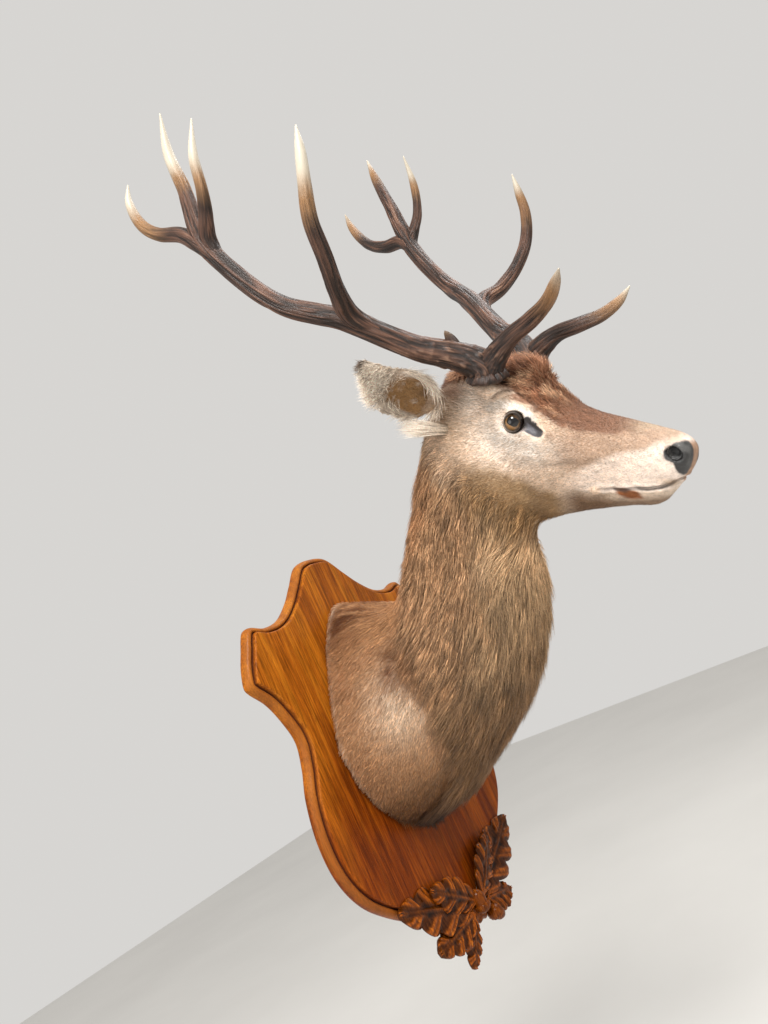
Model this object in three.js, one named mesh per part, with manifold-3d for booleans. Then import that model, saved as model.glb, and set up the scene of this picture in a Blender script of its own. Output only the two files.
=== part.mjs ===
// Red deer stag shoulder mount on a shaped oak board with a carved oak-leaf spray.
// Millimetres, +Z up, back of the board on the plane y = 0, nose towards -Y, the animal's left on +X.
import * as THREE from 'three';
import { mergeVertices } from 'three/addons/utils/BufferGeometryUtils.js';
import Module from 'manifold-3d';

const wasm = await Module();
wasm.setup();

// ---------------------------------------------------------------- driving dimensions
const GAP = 0.3;                      // clearance left at every joint between two pieces
const HALF = 0.5;
const TWO_PI = Math.PI * 2;
const DEG = Math.PI / 180;

const BOARD_THICK = 28.5;             // back plane to the flat front face
const BOARD_STEPS = 60;               // points round the outline

const HEAD_POS = new THREE.Vector3(22.6, -551, 367.3);   // midway between the eyes
const HEAD_YAW = -10.3 * DEG;         // nose turned to the animal's right
const HEAD_PITCH = 39.1 * DEG;        // nose below the horizontal
const HEAD_ROLL = -9.2 * DEG;         // left side of the head a little higher

const EYE_R = 17.5;                   // glass eye
const EYE_X = 58.5;                   // eye centre from the middle of the head
const EYE_Y = 3;                      // and behind the line across the sockets
const NOSE_CUT_Y = -247;              // plane that parts the nose pad from the face
const MOUTH_CORNER_Y = -112;          // where the lips end
const MOUTH_GAP = 1.4;

const HEAD_SEGS = 18;                 // points round the sections of the head
const NECK_SEGS = 20;                 // points round the sections of the neck
const ANTLER_SEGS = 8;

// ---------------------------------------------------------------- geometry helpers
const V = (x, y, z) => new THREE.Vector3(x, y, z);

const headMatrix = new THREE.Matrix4().compose(
  HEAD_POS,
  new THREE.Quaternion().setFromEuler(new THREE.Euler(HEAD_PITCH, HEAD_ROLL, HEAD_YAW, 'YXZ')),
  V(1, 1, 1),
);

// closed body from rings of equal point count; every end is a fan round the ring's centre
function loft(rings) {
  const n = rings[0].length;
  const positions = [];
  const index = [];
  for (const ring of rings) {
    for (const p of ring) {
      positions.push(p.x, p.y, p.z);
    }
  }
  for (let i = 0; i + 1 < rings.length; i += 1) {
    for (let j = 0; j < n; j += 1) {
      const k = (j + 1) % n;
      const a = i * n + j;
      const b = i * n + k;
      index.push(a, b, a + n, b, b + n, a + n);
    }
  }
  const addCap = (ring, base, flip) => {
    const c = ring.reduce((sum, p) => sum.add(p), V(0, 0, 0)).divideScalar(n);
    const at = positions.length / 3;
    positions.push(c.x, c.y, c.z);
    for (let j = 0; j < n; j += 1) {
      const k = (j + 1) % n;
      if (flip) {
        index.push(at, base + k, base + j);
      } else {
        index.push(at, base + j, base + k);
      }
    }
  };
  addCap(rings[0], 0, true);
  addCap(rings[rings.length - 1], (rings.length - 1) * n, false);
  const geometry = new THREE.BufferGeometry();
  geometry.setAttribute('position', new THREE.Float32BufferAttribute(positions, 3));
  geometry.setIndex(index);
  return geometry;
}

function toSolid(geometry) {
  const bare = geometry.clone();
  bare.deleteAttribute('normal');
  bare.deleteAttribute('uv');
  const merged = mergeVertices(bare, 1e-4);
  const make = (tri) => new wasm.Manifold(new wasm.Mesh({
    numProp: 3,
    vertProperties: new Float32Array(merged.attributes.position.array),
    triVerts: tri,
  }));
  const tri = new Uint32Array(merged.index.array);
  const solid = make(tri);
  if (solid.volume() > 0) {
    return solid;
  }
  for (let i = 0; i < tri.length; i += 3) {
    [tri[i + 1], tri[i + 2]] = [tri[i + 2], tri[i + 1]];
  }
  return make(tri);
}

const placed = (geometry, matrix) => toSolid(geometry.clone().applyMatrix4(matrix));
const inHead = (geometry) => placed(geometry, headMatrix);
const unite = (solids) => solids.reduce((a, b) => a.add(b));

function toGeometry(solid) {
  const mesh = solid.getMesh();
  const geometry = new THREE.BufferGeometry();
  const flat = new Float32Array(mesh.numVert * 3);
  for (let i = 0; i < mesh.numVert; i += 1) {
    for (let c = 0; c < 3; c += 1) {
      flat[i * 3 + c] = mesh.vertProperties[i * mesh.numProp + c];
    }
  }
  geometry.setAttribute('position', new THREE.BufferAttribute(flat, 3));
  geometry.setIndex(new THREE.BufferAttribute(new Uint32Array(mesh.triVerts), 1));
  geometry.computeVertexNormals();
  return geometry;
}

// oval section: across = half width, up and down = half heights,
// waist narrows the lower half and crest the upper half
function oval(centre, right, rise, across, up, down, segs, waist = 0, crest = 0, power = 2.2) {
  const ring = [];
  for (let j = 0; j < segs; j += 1) {
    const a = (j / segs) * TWO_PI;
    const c = Math.cos(a);
    const s = Math.sin(a);
    const taper = 1 - (s < 0 ? -waist : crest) * s;
    const u = Math.sign(c) * Math.abs(c) ** (2 / power) * across * taper;
    const w = Math.sign(s) * Math.abs(s) ** (2 / power) * (s > 0 ? up : down);
    ring.push(centre.clone().addScaledVector(right, u).addScaledVector(rise, w));
  }
  return ring;
}

// ellipsoid with its own centre and three radii
function ellipsoid(x, y, z, rx, ry, rz, segs = 10, rows = 7) {
  return new THREE.SphereGeometry(1, segs, rows).scale(rx, ry, rz).translate(x, y, z);
}

// large box whose face lies on the plane through a point, filling the side the normal points to
function halfSpace(point, normal, shift = 0, reach = 1600) {
  const turn = new THREE.Quaternion().setFromUnitVectors(V(0, 0, 1), normal.clone().normalize());
  const centre = point.clone().addScaledVector(normal.clone().normalize(), reach * HALF + shift);
  return toSolid(new THREE.BoxGeometry(reach, reach, reach).applyQuaternion(turn)
    .translate(centre.x, centre.y, centre.z));
}

// ---------------------------------------------------------------- the oak board
// right half of the outline from the top crest to the bottom point
const BOARD_HALF = [
  [0, 366], [39, 360], [77, 325], [106, 298], [147, 272], [192, 266],
  [224, 274], [235, 271], [256, 238], [273, 207], [281, 179], [276, 169],
  [251, 142], [232, 103], [223, 66], [234, 24], [255, -24], [269, -92],
  [264, -157], [239, -209], [192, -253], [126, -296], [58, -330], [0, -350],
];
// inset from the outline and height above the back, from the back edge round the roll to the face
const BOARD_EDGE = [
  [4, 0], [0, 6], [1, 16], [7, 21.5], [11.5, 20.5], [13, BOARD_THICK],
];

function boardOutline() {
  const right = BOARD_HALF.map(([x, z]) => V(x, 0, z));
  const left = right.slice(1, -1).reverse().map((p) => V(-p.x, 0, p.z));
  const curve = new THREE.CatmullRomCurve3([...right, ...left], true, 'centripetal');
  return curve.getSpacedPoints(BOARD_STEPS).slice(0, BOARD_STEPS);
}

function makeBoard() {
  const outline = boardOutline();
  const n = outline.length;
  const inward = outline.map((p, i) => {
    const t = outline[(i + 1) % n].clone().sub(outline[(i + n - 1) % n]).normalize();
    return V(t.z, 0, -t.x);
  });
  const sign = inward[0].z < 0 ? 1 : -1;
  const rings = BOARD_EDGE.map(([inset, height]) => outline.map((p, i) => V(
    p.x + inward[i].x * inset * sign,
    -height,
    p.z + inward[i].z * inset * sign,
  )));
  return toSolid(loft(rings));
}

// ---------------------------------------------------------------- the carved oak-leaf spray
const LEAF_THICK = 9;
const SPRAY_Y = -BOARD_THICK - GAP;
const SPRAY_SPLIT = 24;               // planes that part the side leaves from the middle
// root x, root z, tip x, tip z, half width, lift off the board, tilt about the midrib
const LEAVES = [
  [-14, -330, -196, -252, 40, 0, 14],
  [-10, -322, -112, -254, 30, 9, -10],
  [-30, -338, -150, -344, 30, 5, 18],
  [14, -330, 196, -250, 40, 0, -14],
  [10, -322, 104, -246, 30, 9, 10],
  [24, -338, 104, -356, 28, 5, -18],
  [-30, -338, -84, -404, 22, 2, 0],
];
const LEAF_LOBES = 4;

function leafShape(length, half) {
  const points = [];
  const steps = 11;
  for (let i = 0; i <= steps; i += 1) {
    const t = i / steps;
    const body = Math.sin(Math.PI * (0.06 + 0.9 * t ** 0.85)) ** 0.8;
    const lobe = 1 + 0.22 * Math.cos(TWO_PI * LEAF_LOBES * t + Math.PI);
    points.push([t * length, half * body * lobe]);
  }
  const shape = new THREE.Shape();
  shape.moveTo(points[0][0], -points[0][1]);
  points.slice(1).forEach(([x, y]) => shape.lineTo(x, -y));
  points.slice().reverse().forEach(([x, y]) => shape.lineTo(x, y));
  return shape;
}

function makeLeaf([x0, z0, x1, z1, half, lift, tilt]) {
  const length = Math.hypot(x1 - x0, z1 - z0);
  const blade = new THREE.ExtrudeGeometry(leafShape(length, half), {
    depth: LEAF_THICK, bevelEnabled: false, curveSegments: 4,
  });
  const rib = new THREE.CylinderGeometry(3, 5.5, length * 0.94, 5).rotateZ(-Math.PI * HALF)
    .translate(length * 0.47, 0, LEAF_THICK);
  const body = toSolid(blade).add(toSolid(rib));
  // leaf frame: x along the midrib, z off the board
  const out = V(0, -1, 0);
  const along = V(x1 - x0, 0, z1 - z0).normalize();
  const across = out.clone().cross(along);
  const spin = new THREE.Matrix4().makeRotationX(tilt * DEG);
  const basis = new THREE.Matrix4().makeBasis(along, across, out)
    .setPosition(x0, SPRAY_Y - lift, z0).multiply(spin);
  return placed(toGeometry(body), basis);
}

// acorn: cup, nut and point in one turned profile
function makeAcorn(x, y, z, lean, length) {
  const r = length * 0.3;
  const profile = [
    [0, 0], [r * 0.6, 0], [r * 1.14, length * 0.18], [r * 1.14, length * 0.36], [r * 0.97, length * 0.38],
    [r * 0.92, length * 0.66], [r * 0.5, length * 0.9], [0, length],
  ].map(([a, b]) => new THREE.Vector2(a, b));
  const turned = new THREE.LatheGeometry(profile, 8).rotateZ(lean * DEG).translate(x, y, z);
  return toSolid(turned);
}

function makeSpray() {
  const front = halfSpace(V(0, SPRAY_Y, 0), V(0, -1, 0));
  const boss = toSolid(ellipsoid(0, SPRAY_Y - 4, -338, 30, 16, 24));
  const acorns = [
    makeAcorn(-4, SPRAY_Y - 20, -346, 6, 44),
    makeAcorn(14, SPRAY_Y - 15, -352, -128, 40),
  ];
  const all = unite([...LEAVES.map(makeLeaf), boss, ...acorns]).intersect(front);
  const cut = SPRAY_SPLIT + GAP * HALF;
  const inner = SPRAY_SPLIT - GAP * HALF;
  return {
    left: all.intersect(halfSpace(V(cut, 0, 0), V(1, 0, 0))),
    right: all.intersect(halfSpace(V(-cut, 0, 0), V(-1, 0, 0))),
    middle: all.intersect(halfSpace(V(inner, 0, 0), V(-1, 0, 0)))
      .intersect(halfSpace(V(-inner, 0, 0), V(1, 0, 0))),
  };
}

// ---------------------------------------------------------------- shoulders and neck
// each section: nape y, nape z, throat y, throat z, half width, sideways shift, crest narrowing,
// height of the widest place as a share of the way from nape to throat
const NECK = [
  [-28.8, 268, -28.8, -166, 171, 0, 0.52, 0.58],
  [-46, 266, -48, -170, 174, 0, 0.46, 0.57],
  [-80, 252, -92, -163, 173, 0, 0.36, 0.54],
  [-118, 234, -146, -145, 166, 0, 0.26, 0.5],
  [-150, 219, -204, -112, 154, 0, 0.17, 0.47],
  [-180, 217, -262, -78, 141, 1, 0.1, 0.46],
  [-206, 238, -320, -38, 129, 3, 0.06, 0.46],
  [-234, 276, -372, 12, 118, 6, 0.04, 0.46],
  [-261, 318, -414, 72, 109, 10, 0.04, 0.46],
  [-288, 358, -441, 130, 99, 15, 0.04, 0.46],
  [-316, 398, -455, 184, 91, 20, 0.04, 0.46],
  [-346, 438, -474, 224, 84, 25, 0.04, 0.46],
  [-382, 472, -506, 270, 76, 29, 0.04, 0.46],
  [-420, 486, -530, 320, 62, 32, 0.04, 0.46],
];
const NECK_WAIST = 0.06;

function makeNeckBody() {
  const rings = NECK.map(([ny, nz, ty, tz, half, shift, crest, widest]) => {
    const nape = V(shift, ny, nz);
    const throat = V(shift, ty, tz);
    const centre = nape.clone().lerp(throat, widest);
    const rise = nape.clone().sub(throat).normalize();
    const up = nape.distanceTo(centre);
    const down = throat.distanceTo(centre);
    return oval(centre, V(1, 0, 0), rise, half, up, down, NECK_SEGS, NECK_WAIST, crest);
  });
  return toSolid(loft(rings));
}

// ---------------------------------------------------------------- head, in its own frame
// each section: y, top, bottom, half width, widest height, narrowing below
const HEAD = [
  [-263, 0, -27, 17, -13, 0],
  [-258, 9, -42, 26, -13, 0.05],
  [-246, 16, -65, 32, -15, 0.1],
  [-232, 20, -92, 34, -18, 0.12],
  [-214, 21, -102, 36, -21, 0.13],
  [-190, 23, -107, 38, -26, 0.16],
  [-150, 26, -120, 44, -32, 0.2],
  [-110, 28, -135, 52, -36, 0.26],
  [-75, 34, -150, 58, -34, 0.3],
  [-48, 48, -170, 63, -28, 0.32],
  [-18, 64, -184, 67, -20, 0.3],
  [20, 84, -176, 69, -14, 0.26],
  [60, 90, -166, 69, -10, 0.22],
  [100, 88, -156, 67, -6, 0.2],
  [140, 74, -140, 62, -8, 0.15],
  [172, 46, -116, 48, -20, 0.1],
  [190, 8, -72, 24, -30, 0],
];

function makeHeadBody() {
  const rings = HEAD.map(([y, top, bottom, half, mid, waist]) => oval(
    V(0, y, mid), V(1, 0, 0), V(0, 0, 1), half, top - mid, mid - bottom, HEAD_SEGS, waist,
  ));
  const extras = [];
  for (const side of [-1, 1]) {
    extras.push(ellipsoid(side * 44, 3, 6, 25.5, 38, 27));        // rim of the eye socket
    extras.push(ellipsoid(side * 50, 59, 44, 32, 34, 22));        // antler pedicle
  }
  extras.push(ellipsoid(0, 26, 68, 45, 44, 30, 8, 6));            // hair of the crown
  return unite([toSolid(loft(rings)), ...extras.map((g) => toSolid(g))]);
}

// ---------------------------------------------------------------- ears
const EAR_ROOT = V(-70, 140, 12);
const EAR_TIP = V(-226, 199, 84);
const EAR_FACING = V(-0.3, -0.86, -0.2);
// along the ear: fraction, half width above, half width below, depth of the cup, wall thickness
const EAR = [
  [-0.04, 18, 28, 18, 34], [0.1, 24, 50, 27, 20], [0.27, 29, 58, 30, 12], [0.45, 25, 65, 26, 9],
  [0.6, 17, 53, 20, 8], [0.76, 13.5, 36, 13, 7.5], [0.91, 9.5, 18, 7, 6], [1.01, 1.5, 2.5, 2, 3],
];
const EAR_HALF_STEPS = 4;
const EAR_RIM = 0.94;                 // the inner hollow's width over the outer one

function makeEar(side) {
  const mirror = V(-side, 1, 1);
  const root = EAR_ROOT.clone().multiply(mirror);
  const tip = EAR_TIP.clone().multiply(mirror);
  const face = EAR_FACING.clone().multiply(mirror);
  const axis = tip.clone().sub(root);
  const length = axis.length();
  axis.normalize();
  face.addScaledVector(axis, -face.dot(axis)).normalize();
  const above = face.clone().cross(axis).multiplyScalar(side);
  const rings = EAR.map(([t, high, low, cup, wall]) => {
    const centre = root.clone().addScaledVector(axis, t * length);
    const ring = [];
    const put = (s, wide, depth) => ring.push(centre.clone()
      .addScaledVector(above, s * (s > 0 ? high : low) * wide)
      .addScaledVector(face, -depth * Math.sqrt(Math.max(0, 1 - s * s * 0.96))));
    for (let i = -EAR_HALF_STEPS; i <= EAR_HALF_STEPS; i += 1) {
      put(i / EAR_HALF_STEPS, 1, cup);
    }
    for (let i = EAR_HALF_STEPS - 1; i > -EAR_HALF_STEPS; i -= 1) {
      put(i / EAR_HALF_STEPS, EAR_RIM, Math.max(-cup * 0.2, cup - wall));
    }
    return ring;
  });
  return inHead(loft(rings));
}

// ---------------------------------------------------------------- antlers, in the head's frame
const BURR_R = 33;
const BURR_LEAN = [0.25, 0.15, 0.95]; // the coronet's axis: outwards, back, up
const BURR_RISE = 9;                  // its middle above the foot of the beam
// centre line points [x, y, z] and radius for every branch, right side first (negative x)
const ANTLER_R = {
  beam: [
    [-66, 57, 58, 27], [-70, 66, 78, 26], [-86, 97, 91, 23], [-125, 156, 101, 20],
    [-184, 257, 137, 18.5], [-233, 354, 154, 16], [-261, 463, 212, 15.5], [-268, 507, 248, 16],
    [-267, 552, 324, 12], [-270, 587, 380, 9], [-269, 608, 441, 1.5],
  ],
  brow: [
    [-68, 58, 84, 17], [-73, 23, 131, 14.5], [-74, -13, 161, 13], [-87, -43, 190, 11],
    [-107, -62, 217, 8], [-122, -73, 236, 1.5],
  ],
  trez: [
    [-184, 257, 137, 14], [-236, 230, 186, 13.5], [-276, 223, 232, 12.5], [-305, 225, 280, 11.5],
    [-309, 235, 328, 10], [-304, 251, 376, 7.5], [-299, 265, 407, 1.5],
  ],
  back: [
    [-266, 500, 240, 12], [-273, 551, 254, 12], [-282, 601, 251, 11.5], [-288, 642, 265, 10],
    [-291, 670, 299, 7], [-285, 681, 329, 1.5],
  ],
  front: [
    [-266, 492, 238, 11], [-277, 484, 282, 11], [-287, 481, 318, 10], [-290, 498, 371, 8],
    [-276, 519, 429, 1.5],
  ],
};
const ANTLER_L = {
  beam: [
    [66, 57, 58, 27], [70, 67, 80, 26], [86, 100, 103, 23], [125, 160, 117, 20],
    [181, 258, 158, 18.5], [232, 357, 186, 16], [260, 464, 246, 15.5], [265, 502, 286, 16],
    [266, 550, 347, 12], [270, 586, 388, 9], [270, 611, 424, 1.5],
  ],
  brow: [
    [68, 58, 86, 17], [73, 23, 126, 14.5], [76, -15, 146, 13], [88, -48, 164, 11],
    [107, -68, 188, 8], [122, -76, 212, 1.5],
  ],
  trez: [
    [181, 258, 158, 14], [236, 230, 183, 13.5], [276, 223, 229, 12.5], [305, 225, 278, 11.5],
    [309, 235, 328, 10], [304, 252, 366, 7.5], [299, 267, 397, 1.5],
  ],
  back: [
    [264, 496, 262, 12], [274, 551, 246, 12], [282, 601, 252, 11.5], [288, 642, 270, 10],
    [291, 670, 292, 7], [285, 681, 314, 1.5],
  ],
  front: [
    [265, 480, 266, 11], [280, 480, 292, 11], [287, 481, 320, 10], [290, 497, 377, 8],
    [276, 518, 432, 1.5],
  ],
};
const BEZ_STUB = [[-92, 104, 90, 13], [-93, 111, 110, 10], [-95, 118, 122, 6], [-98, 124, 130, 2]];

function branchSolid(rows, fatter = 0) {
  const path = new THREE.CatmullRomCurve3(rows.map(([x, y, z]) => V(x, y, z)), false, 'centripetal');
  const steps = Math.max(6, Math.round(path.getLength() / 46));
  const frames = path.computeFrenetFrames(steps, false);
  const rings = [];
  for (let i = 0; i <= steps; i += 1) {
    const t = path.getUtoTmapping(i / steps) * (rows.length - 1);
    const k = Math.min(rows.length - 2, Math.floor(t));
    const blend = t - k;
    const radius = rows[k][3] * (1 - blend) + rows[k + 1][3] * blend + fatter;
    const centre = path.getPointAt(i / steps);
    const ring = [];
    for (let j = 0; j < ANTLER_SEGS; j += 1) {
      const a = (j / ANTLER_SEGS) * TWO_PI;
      ring.push(centre.clone().addScaledVector(frames.normals[i], Math.cos(a) * radius)
        .addScaledVector(frames.binormals[i], Math.sin(a) * radius));
    }
    rings.push(ring);
  }
  return inHead(loft(rings));
}

// coronet: a short waisted drum round the foot of the beam
function burrSolid(rows, fatter = 0) {
  const axis = V(Math.sign(rows[0][0]) * BURR_LEAN[0], BURR_LEAN[1], BURR_LEAN[2]).normalize();
  const foot = V(...rows[0].slice(0, 3)).addScaledVector(axis, BURR_RISE);
  const lumps = 7;
  const rings = [[-10, 0.78], [-4, 1.03], [3, 1], [9, 0.74]].map(([h, k]) => {
    const turn = new THREE.Quaternion().setFromUnitVectors(V(0, 0, 1), axis);
    const ring = [];
    for (let j = 0; j < lumps * 2; j += 1) {
      const a = (j / (lumps * 2)) * TWO_PI;
      const r = BURR_R * k * (j % 2 ? 1 : 0.93) + fatter;
      ring.push(V(Math.cos(a) * r, Math.sin(a) * r, h + Math.sign(h) * fatter)
        .applyQuaternion(turn).add(foot));
    }
    return ring;
  });
  return inHead(loft(rings));
}

function makeAntler(rows, withStub) {
  const beam = branchSolid(rows.beam).add(burrSolid(rows.beam));
  const fatBeam = branchSolid(rows.beam, GAP).add(burrSolid(rows.beam, GAP));
  const forkAt = V(...rows.beam[4].slice(0, 3)).lerp(V(...rows.beam[5].slice(0, 3)), 0.42)
    .applyMatrix4(headMatrix);
  const along = V(...rows.beam[5].slice(0, 3)).sub(V(...rows.beam[4].slice(0, 3)))
    .transformDirection(headMatrix);
  const pieces = {
    lower: beam.intersect(halfSpace(forkAt, along.clone().negate(), GAP * HALF)),
    upper: beam.intersect(halfSpace(forkAt, along, GAP * HALF)),
    brow: branchSolid(rows.brow).subtract(fatBeam),
    trez: branchSolid(rows.trez).subtract(fatBeam),
    back: branchSolid(rows.back).subtract(fatBeam),
    front: branchSolid(rows.front).subtract(fatBeam).subtract(branchSolid(rows.back, GAP)),
  };
  if (withStub) {
    pieces.stub = branchSolid(BEZ_STUB).subtract(fatBeam);
  }
  return pieces;
}

// a cut can leave a loose sliver beside the piece: keep the largest body
function largest(solid) {
  const parts = solid.decompose();
  return parts.reduce((a, b) => (b.volume() > a.volume() ? b : a));
}

// ---------------------------------------------------------------- assembly
const SLOTS = {
  coat: [0x9c7350, 0.95],
  muzzle: [0xb89a80, 0.9],
  nose: [0x2c2725, 0.6],
  ear: [0xb5a68f, 0.95],
  eye: [0x5a2f10, 0.08],
  antler: [0x4a3020, 0.55],
  oak: [0xa8661c, 0.35],
  carving: [0x6e3511, 0.35],
};

const group = new THREE.Group();
group.name = 'red_deer_mount';

function addPiece(name, solid, slot) {
  const [color, roughness] = SLOTS[slot];
  const material = new THREE.MeshStandardMaterial({ color, roughness, metalness: 0 });
  material.name = slot;
  const mesh = new THREE.Mesh(toGeometry(largest(solid)), material);
  mesh.name = name;
  group.add(mesh);
}

addPiece('board', makeBoard(), 'oak');
const spray = makeSpray();
addPiece('leaf_spray_left', spray.left, 'carving');
addPiece('leaf_spray_right', spray.right, 'carving');
addPiece('leaf_spray_middle', spray.middle, 'carving');

const antlers = { right: makeAntler(ANTLER_R, true), left: makeAntler(ANTLER_L, false) };
const antlerRoots = unite([ANTLER_R, ANTLER_L].flatMap((rows) => [
  burrSolid(rows.beam, GAP), branchSolid(rows.beam, GAP), branchSolid(rows.brow, GAP),
]));

const ears = { right: makeEar(-1), left: makeEar(1) };
const eyeBall = (side, extra) => inHead(ellipsoid(side * EYE_X, EYE_Y, 0, EYE_R + extra, EYE_R + extra,
  EYE_R + extra, 12, 8));
const nostril = (side) => inHead(ellipsoid(side * 27, -240, -8, 8, 12, 7));

// the neck is grown in the board's frame and the head in its own, then both are one body
const EAR_CUT_OUT = 62;               // the ears leave the head at this distance from its middle
const neckBody = makeNeckBody();
const headBody = inHead(toGeometry(makeHeadBody()));
const holes = unite([
  antlerRoots, eyeBall(-1, GAP), eyeBall(1, GAP), nostril(-1), nostril(1),
]);
const body = neckBody.add(headBody).subtract(holes);

const SHOULDER_CUT = [V(0, -190, 200), V(0, 1, 0.06)];
const HEAD_CUT = [V(0, -436, 334), V(0, 0.74, -0.67)];
const side = (plane, sign) => halfSpace(plane[0], plane[1].clone().multiplyScalar(sign), GAP * HALF);
const shoulders = body.intersect(side(SHOULDER_CUT, 1));
const neck = body.intersect(side(SHOULDER_CUT, -1)).intersect(side(HEAD_CUT, 1));
const head = body.intersect(side(SHOULDER_CUT, -1)).intersect(side(HEAD_CUT, -1));

const headPlane = (point, normal) => [
  point.applyMatrix4(headMatrix), normal.transformDirection(headMatrix),
];
const MOUTH = headPlane(V(0, -240, -57), V(0, 0.27, 1));
const CORNER = headPlane(V(0, MOUTH_CORNER_Y, -90), V(0, 1, 0));
const NOSE = headPlane(V(0, NOSE_CUT_Y, 0), V(0, -1, 0));
const below = halfSpace(MOUTH[0], MOUTH[1].clone().negate(), MOUTH_GAP * HALF);
const belowWide = halfSpace(MOUTH[0], MOUTH[1].clone().negate(), -MOUTH_GAP * HALF);
const ahead = halfSpace(CORNER[0], CORNER[1].clone().negate(), GAP * HALF);
const aheadWide = halfSpace(CORNER[0], CORNER[1].clone().negate(), -GAP * HALF);
const lowerJaw = head.intersect(below).intersect(ahead);
const face = head.subtract(belowWide.intersect(aheadWide));
const nose = face.intersect(halfSpace(NOSE[0], NOSE[1], GAP * HALF));
const skull = face.intersect(halfSpace(NOSE[0], NOSE[1].clone().negate(), GAP * HALF));

addPiece('shoulders', shoulders, 'coat');
addPiece('neck', neck, 'coat');
addPiece('lower_jaw', lowerJaw, 'muzzle');
addPiece('nose', nose, 'nose');
for (const [name, sign] of [['right', -1], ['left', 1]]) {
  const outside = halfSpace(
    V(sign * (EAR_CUT_OUT + GAP), 0, 0).applyMatrix4(headMatrix),
    V(sign, 0, 0).transformDirection(headMatrix),
  );
  addPiece(`ear_${name}`, ears[name].intersect(outside).subtract(body), 'ear');
  addPiece(`eye_${name}`, eyeBall(sign, 0), 'eye');
  const set = antlers[name];
  addPiece(`antler_${name}_lower_beam`, set.lower, 'antler');
  addPiece(`antler_${name}_upper_beam`, set.upper, 'antler');
  addPiece(`antler_${name}_brow_tine`, set.brow, 'antler');
  addPiece(`antler_${name}_trez_tine`, set.trez, 'antler');
  addPiece(`antler_${name}_back_tine`, set.back, 'antler');
  addPiece(`antler_${name}_crown_tine`, set.front, 'antler');
  if (set.stub) {
    addPiece(`antler_${name}_bez_stub`, set.stub, 'antler');
  }
}
addPiece('head', skull, 'coat');

export default group;
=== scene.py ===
"""A red deer stag's head and neck, mounted on a carved oak board.

The CAD frame gives the sizes. This script gives the looks: one skin over all the flesh, a coat of
mesh tufts that follows it, glass eyes, ridged antlers, an oiled oak board and its carved oak leaves.
Lengths are metres in the frame's own axes, and millimetres in the tables marked so.
"""

import math

import bmesh
import bpy
import numpy as np
from mathutils import Matrix, Vector, kdtree
from mathutils.geometry import delaunay_2d_cdt


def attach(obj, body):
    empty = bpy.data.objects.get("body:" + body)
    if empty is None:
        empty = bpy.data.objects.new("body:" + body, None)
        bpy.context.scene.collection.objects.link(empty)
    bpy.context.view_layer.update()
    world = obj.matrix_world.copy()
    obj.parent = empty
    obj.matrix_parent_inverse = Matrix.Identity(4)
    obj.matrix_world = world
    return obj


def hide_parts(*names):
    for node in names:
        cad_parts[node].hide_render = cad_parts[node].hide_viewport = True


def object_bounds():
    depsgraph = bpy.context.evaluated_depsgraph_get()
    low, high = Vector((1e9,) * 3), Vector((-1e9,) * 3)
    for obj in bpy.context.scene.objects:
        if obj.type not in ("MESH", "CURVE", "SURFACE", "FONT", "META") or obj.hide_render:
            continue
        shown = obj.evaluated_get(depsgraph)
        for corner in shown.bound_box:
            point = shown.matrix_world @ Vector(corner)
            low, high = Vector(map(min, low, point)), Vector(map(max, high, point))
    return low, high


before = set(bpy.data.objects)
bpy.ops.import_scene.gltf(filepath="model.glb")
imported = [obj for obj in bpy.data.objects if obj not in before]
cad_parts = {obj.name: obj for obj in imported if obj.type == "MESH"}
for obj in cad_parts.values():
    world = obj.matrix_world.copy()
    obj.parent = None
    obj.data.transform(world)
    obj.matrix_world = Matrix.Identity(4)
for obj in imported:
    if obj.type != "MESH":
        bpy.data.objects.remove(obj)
CAD_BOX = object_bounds()

MM = 0.001
RNG = np.random.default_rng(20)

# The head's own axes: x to the deer's left, y back from the nose, z up through the crown.
HEAD_PLACE = np.array((22.6, -551.0, 367.3))
HEAD_TURN = (-9.2, 39.1, -10.3)

FLESH = ("shoulders", "neck", "head", "lower_jaw", "nose", "ear_left", "ear_right")


# ---------------------------------------------------------------- numbers and shapes


def turn_matrix(about_y, about_x, about_z):
    """Turns about the upright, the sideways and the forward axis of a Y-up frame, in degrees."""
    return np.array(
        Matrix.Rotation(math.radians(about_y), 3, "Y")
        @ Matrix.Rotation(math.radians(about_x), 3, "X")
        @ Matrix.Rotation(math.radians(about_z), 3, "Z")
    )


def unit(vectors):
    return vectors / np.maximum(np.linalg.norm(vectors, axis=-1, keepdims=True), 1e-9)


def ramp(value, start, end):
    """Rises smoothly from 0 at start to 1 at end, or falls where end is below start."""
    t = np.clip((value - start) / (end - start), 0.0, 1.0)
    return t * t * (3.0 - 2.0 * t)


def mix(a, b, share):
    """Blends a and b, which are numbers, one number for each point, or one vector for each point."""
    if max(np.ndim(a), np.ndim(b)) > 1:
        share = share[:, None]
    return a * (1.0 - share) + b * share


def table(value, rows):
    """Reads (place, value) rows straight between them, or several columns of values at once."""
    places, *columns = zip(*rows)
    read = [np.interp(value, places, column) for column in columns]
    return read[0] if len(read) == 1 else read


def lattice(corner, seed):
    """A repeatable number from -1 to 1 for each whole-numbered corner."""
    h = corner[:, 0] * 374761393 + corner[:, 1] * 668265263 + corner[:, 2] * 1440662683 + seed * 974711
    h = (h ^ (h >> 13)) * 1274126177
    h = (h ^ (h >> 16)) & 0xFFFF
    return h / 32767.5 - 1.0


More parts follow.
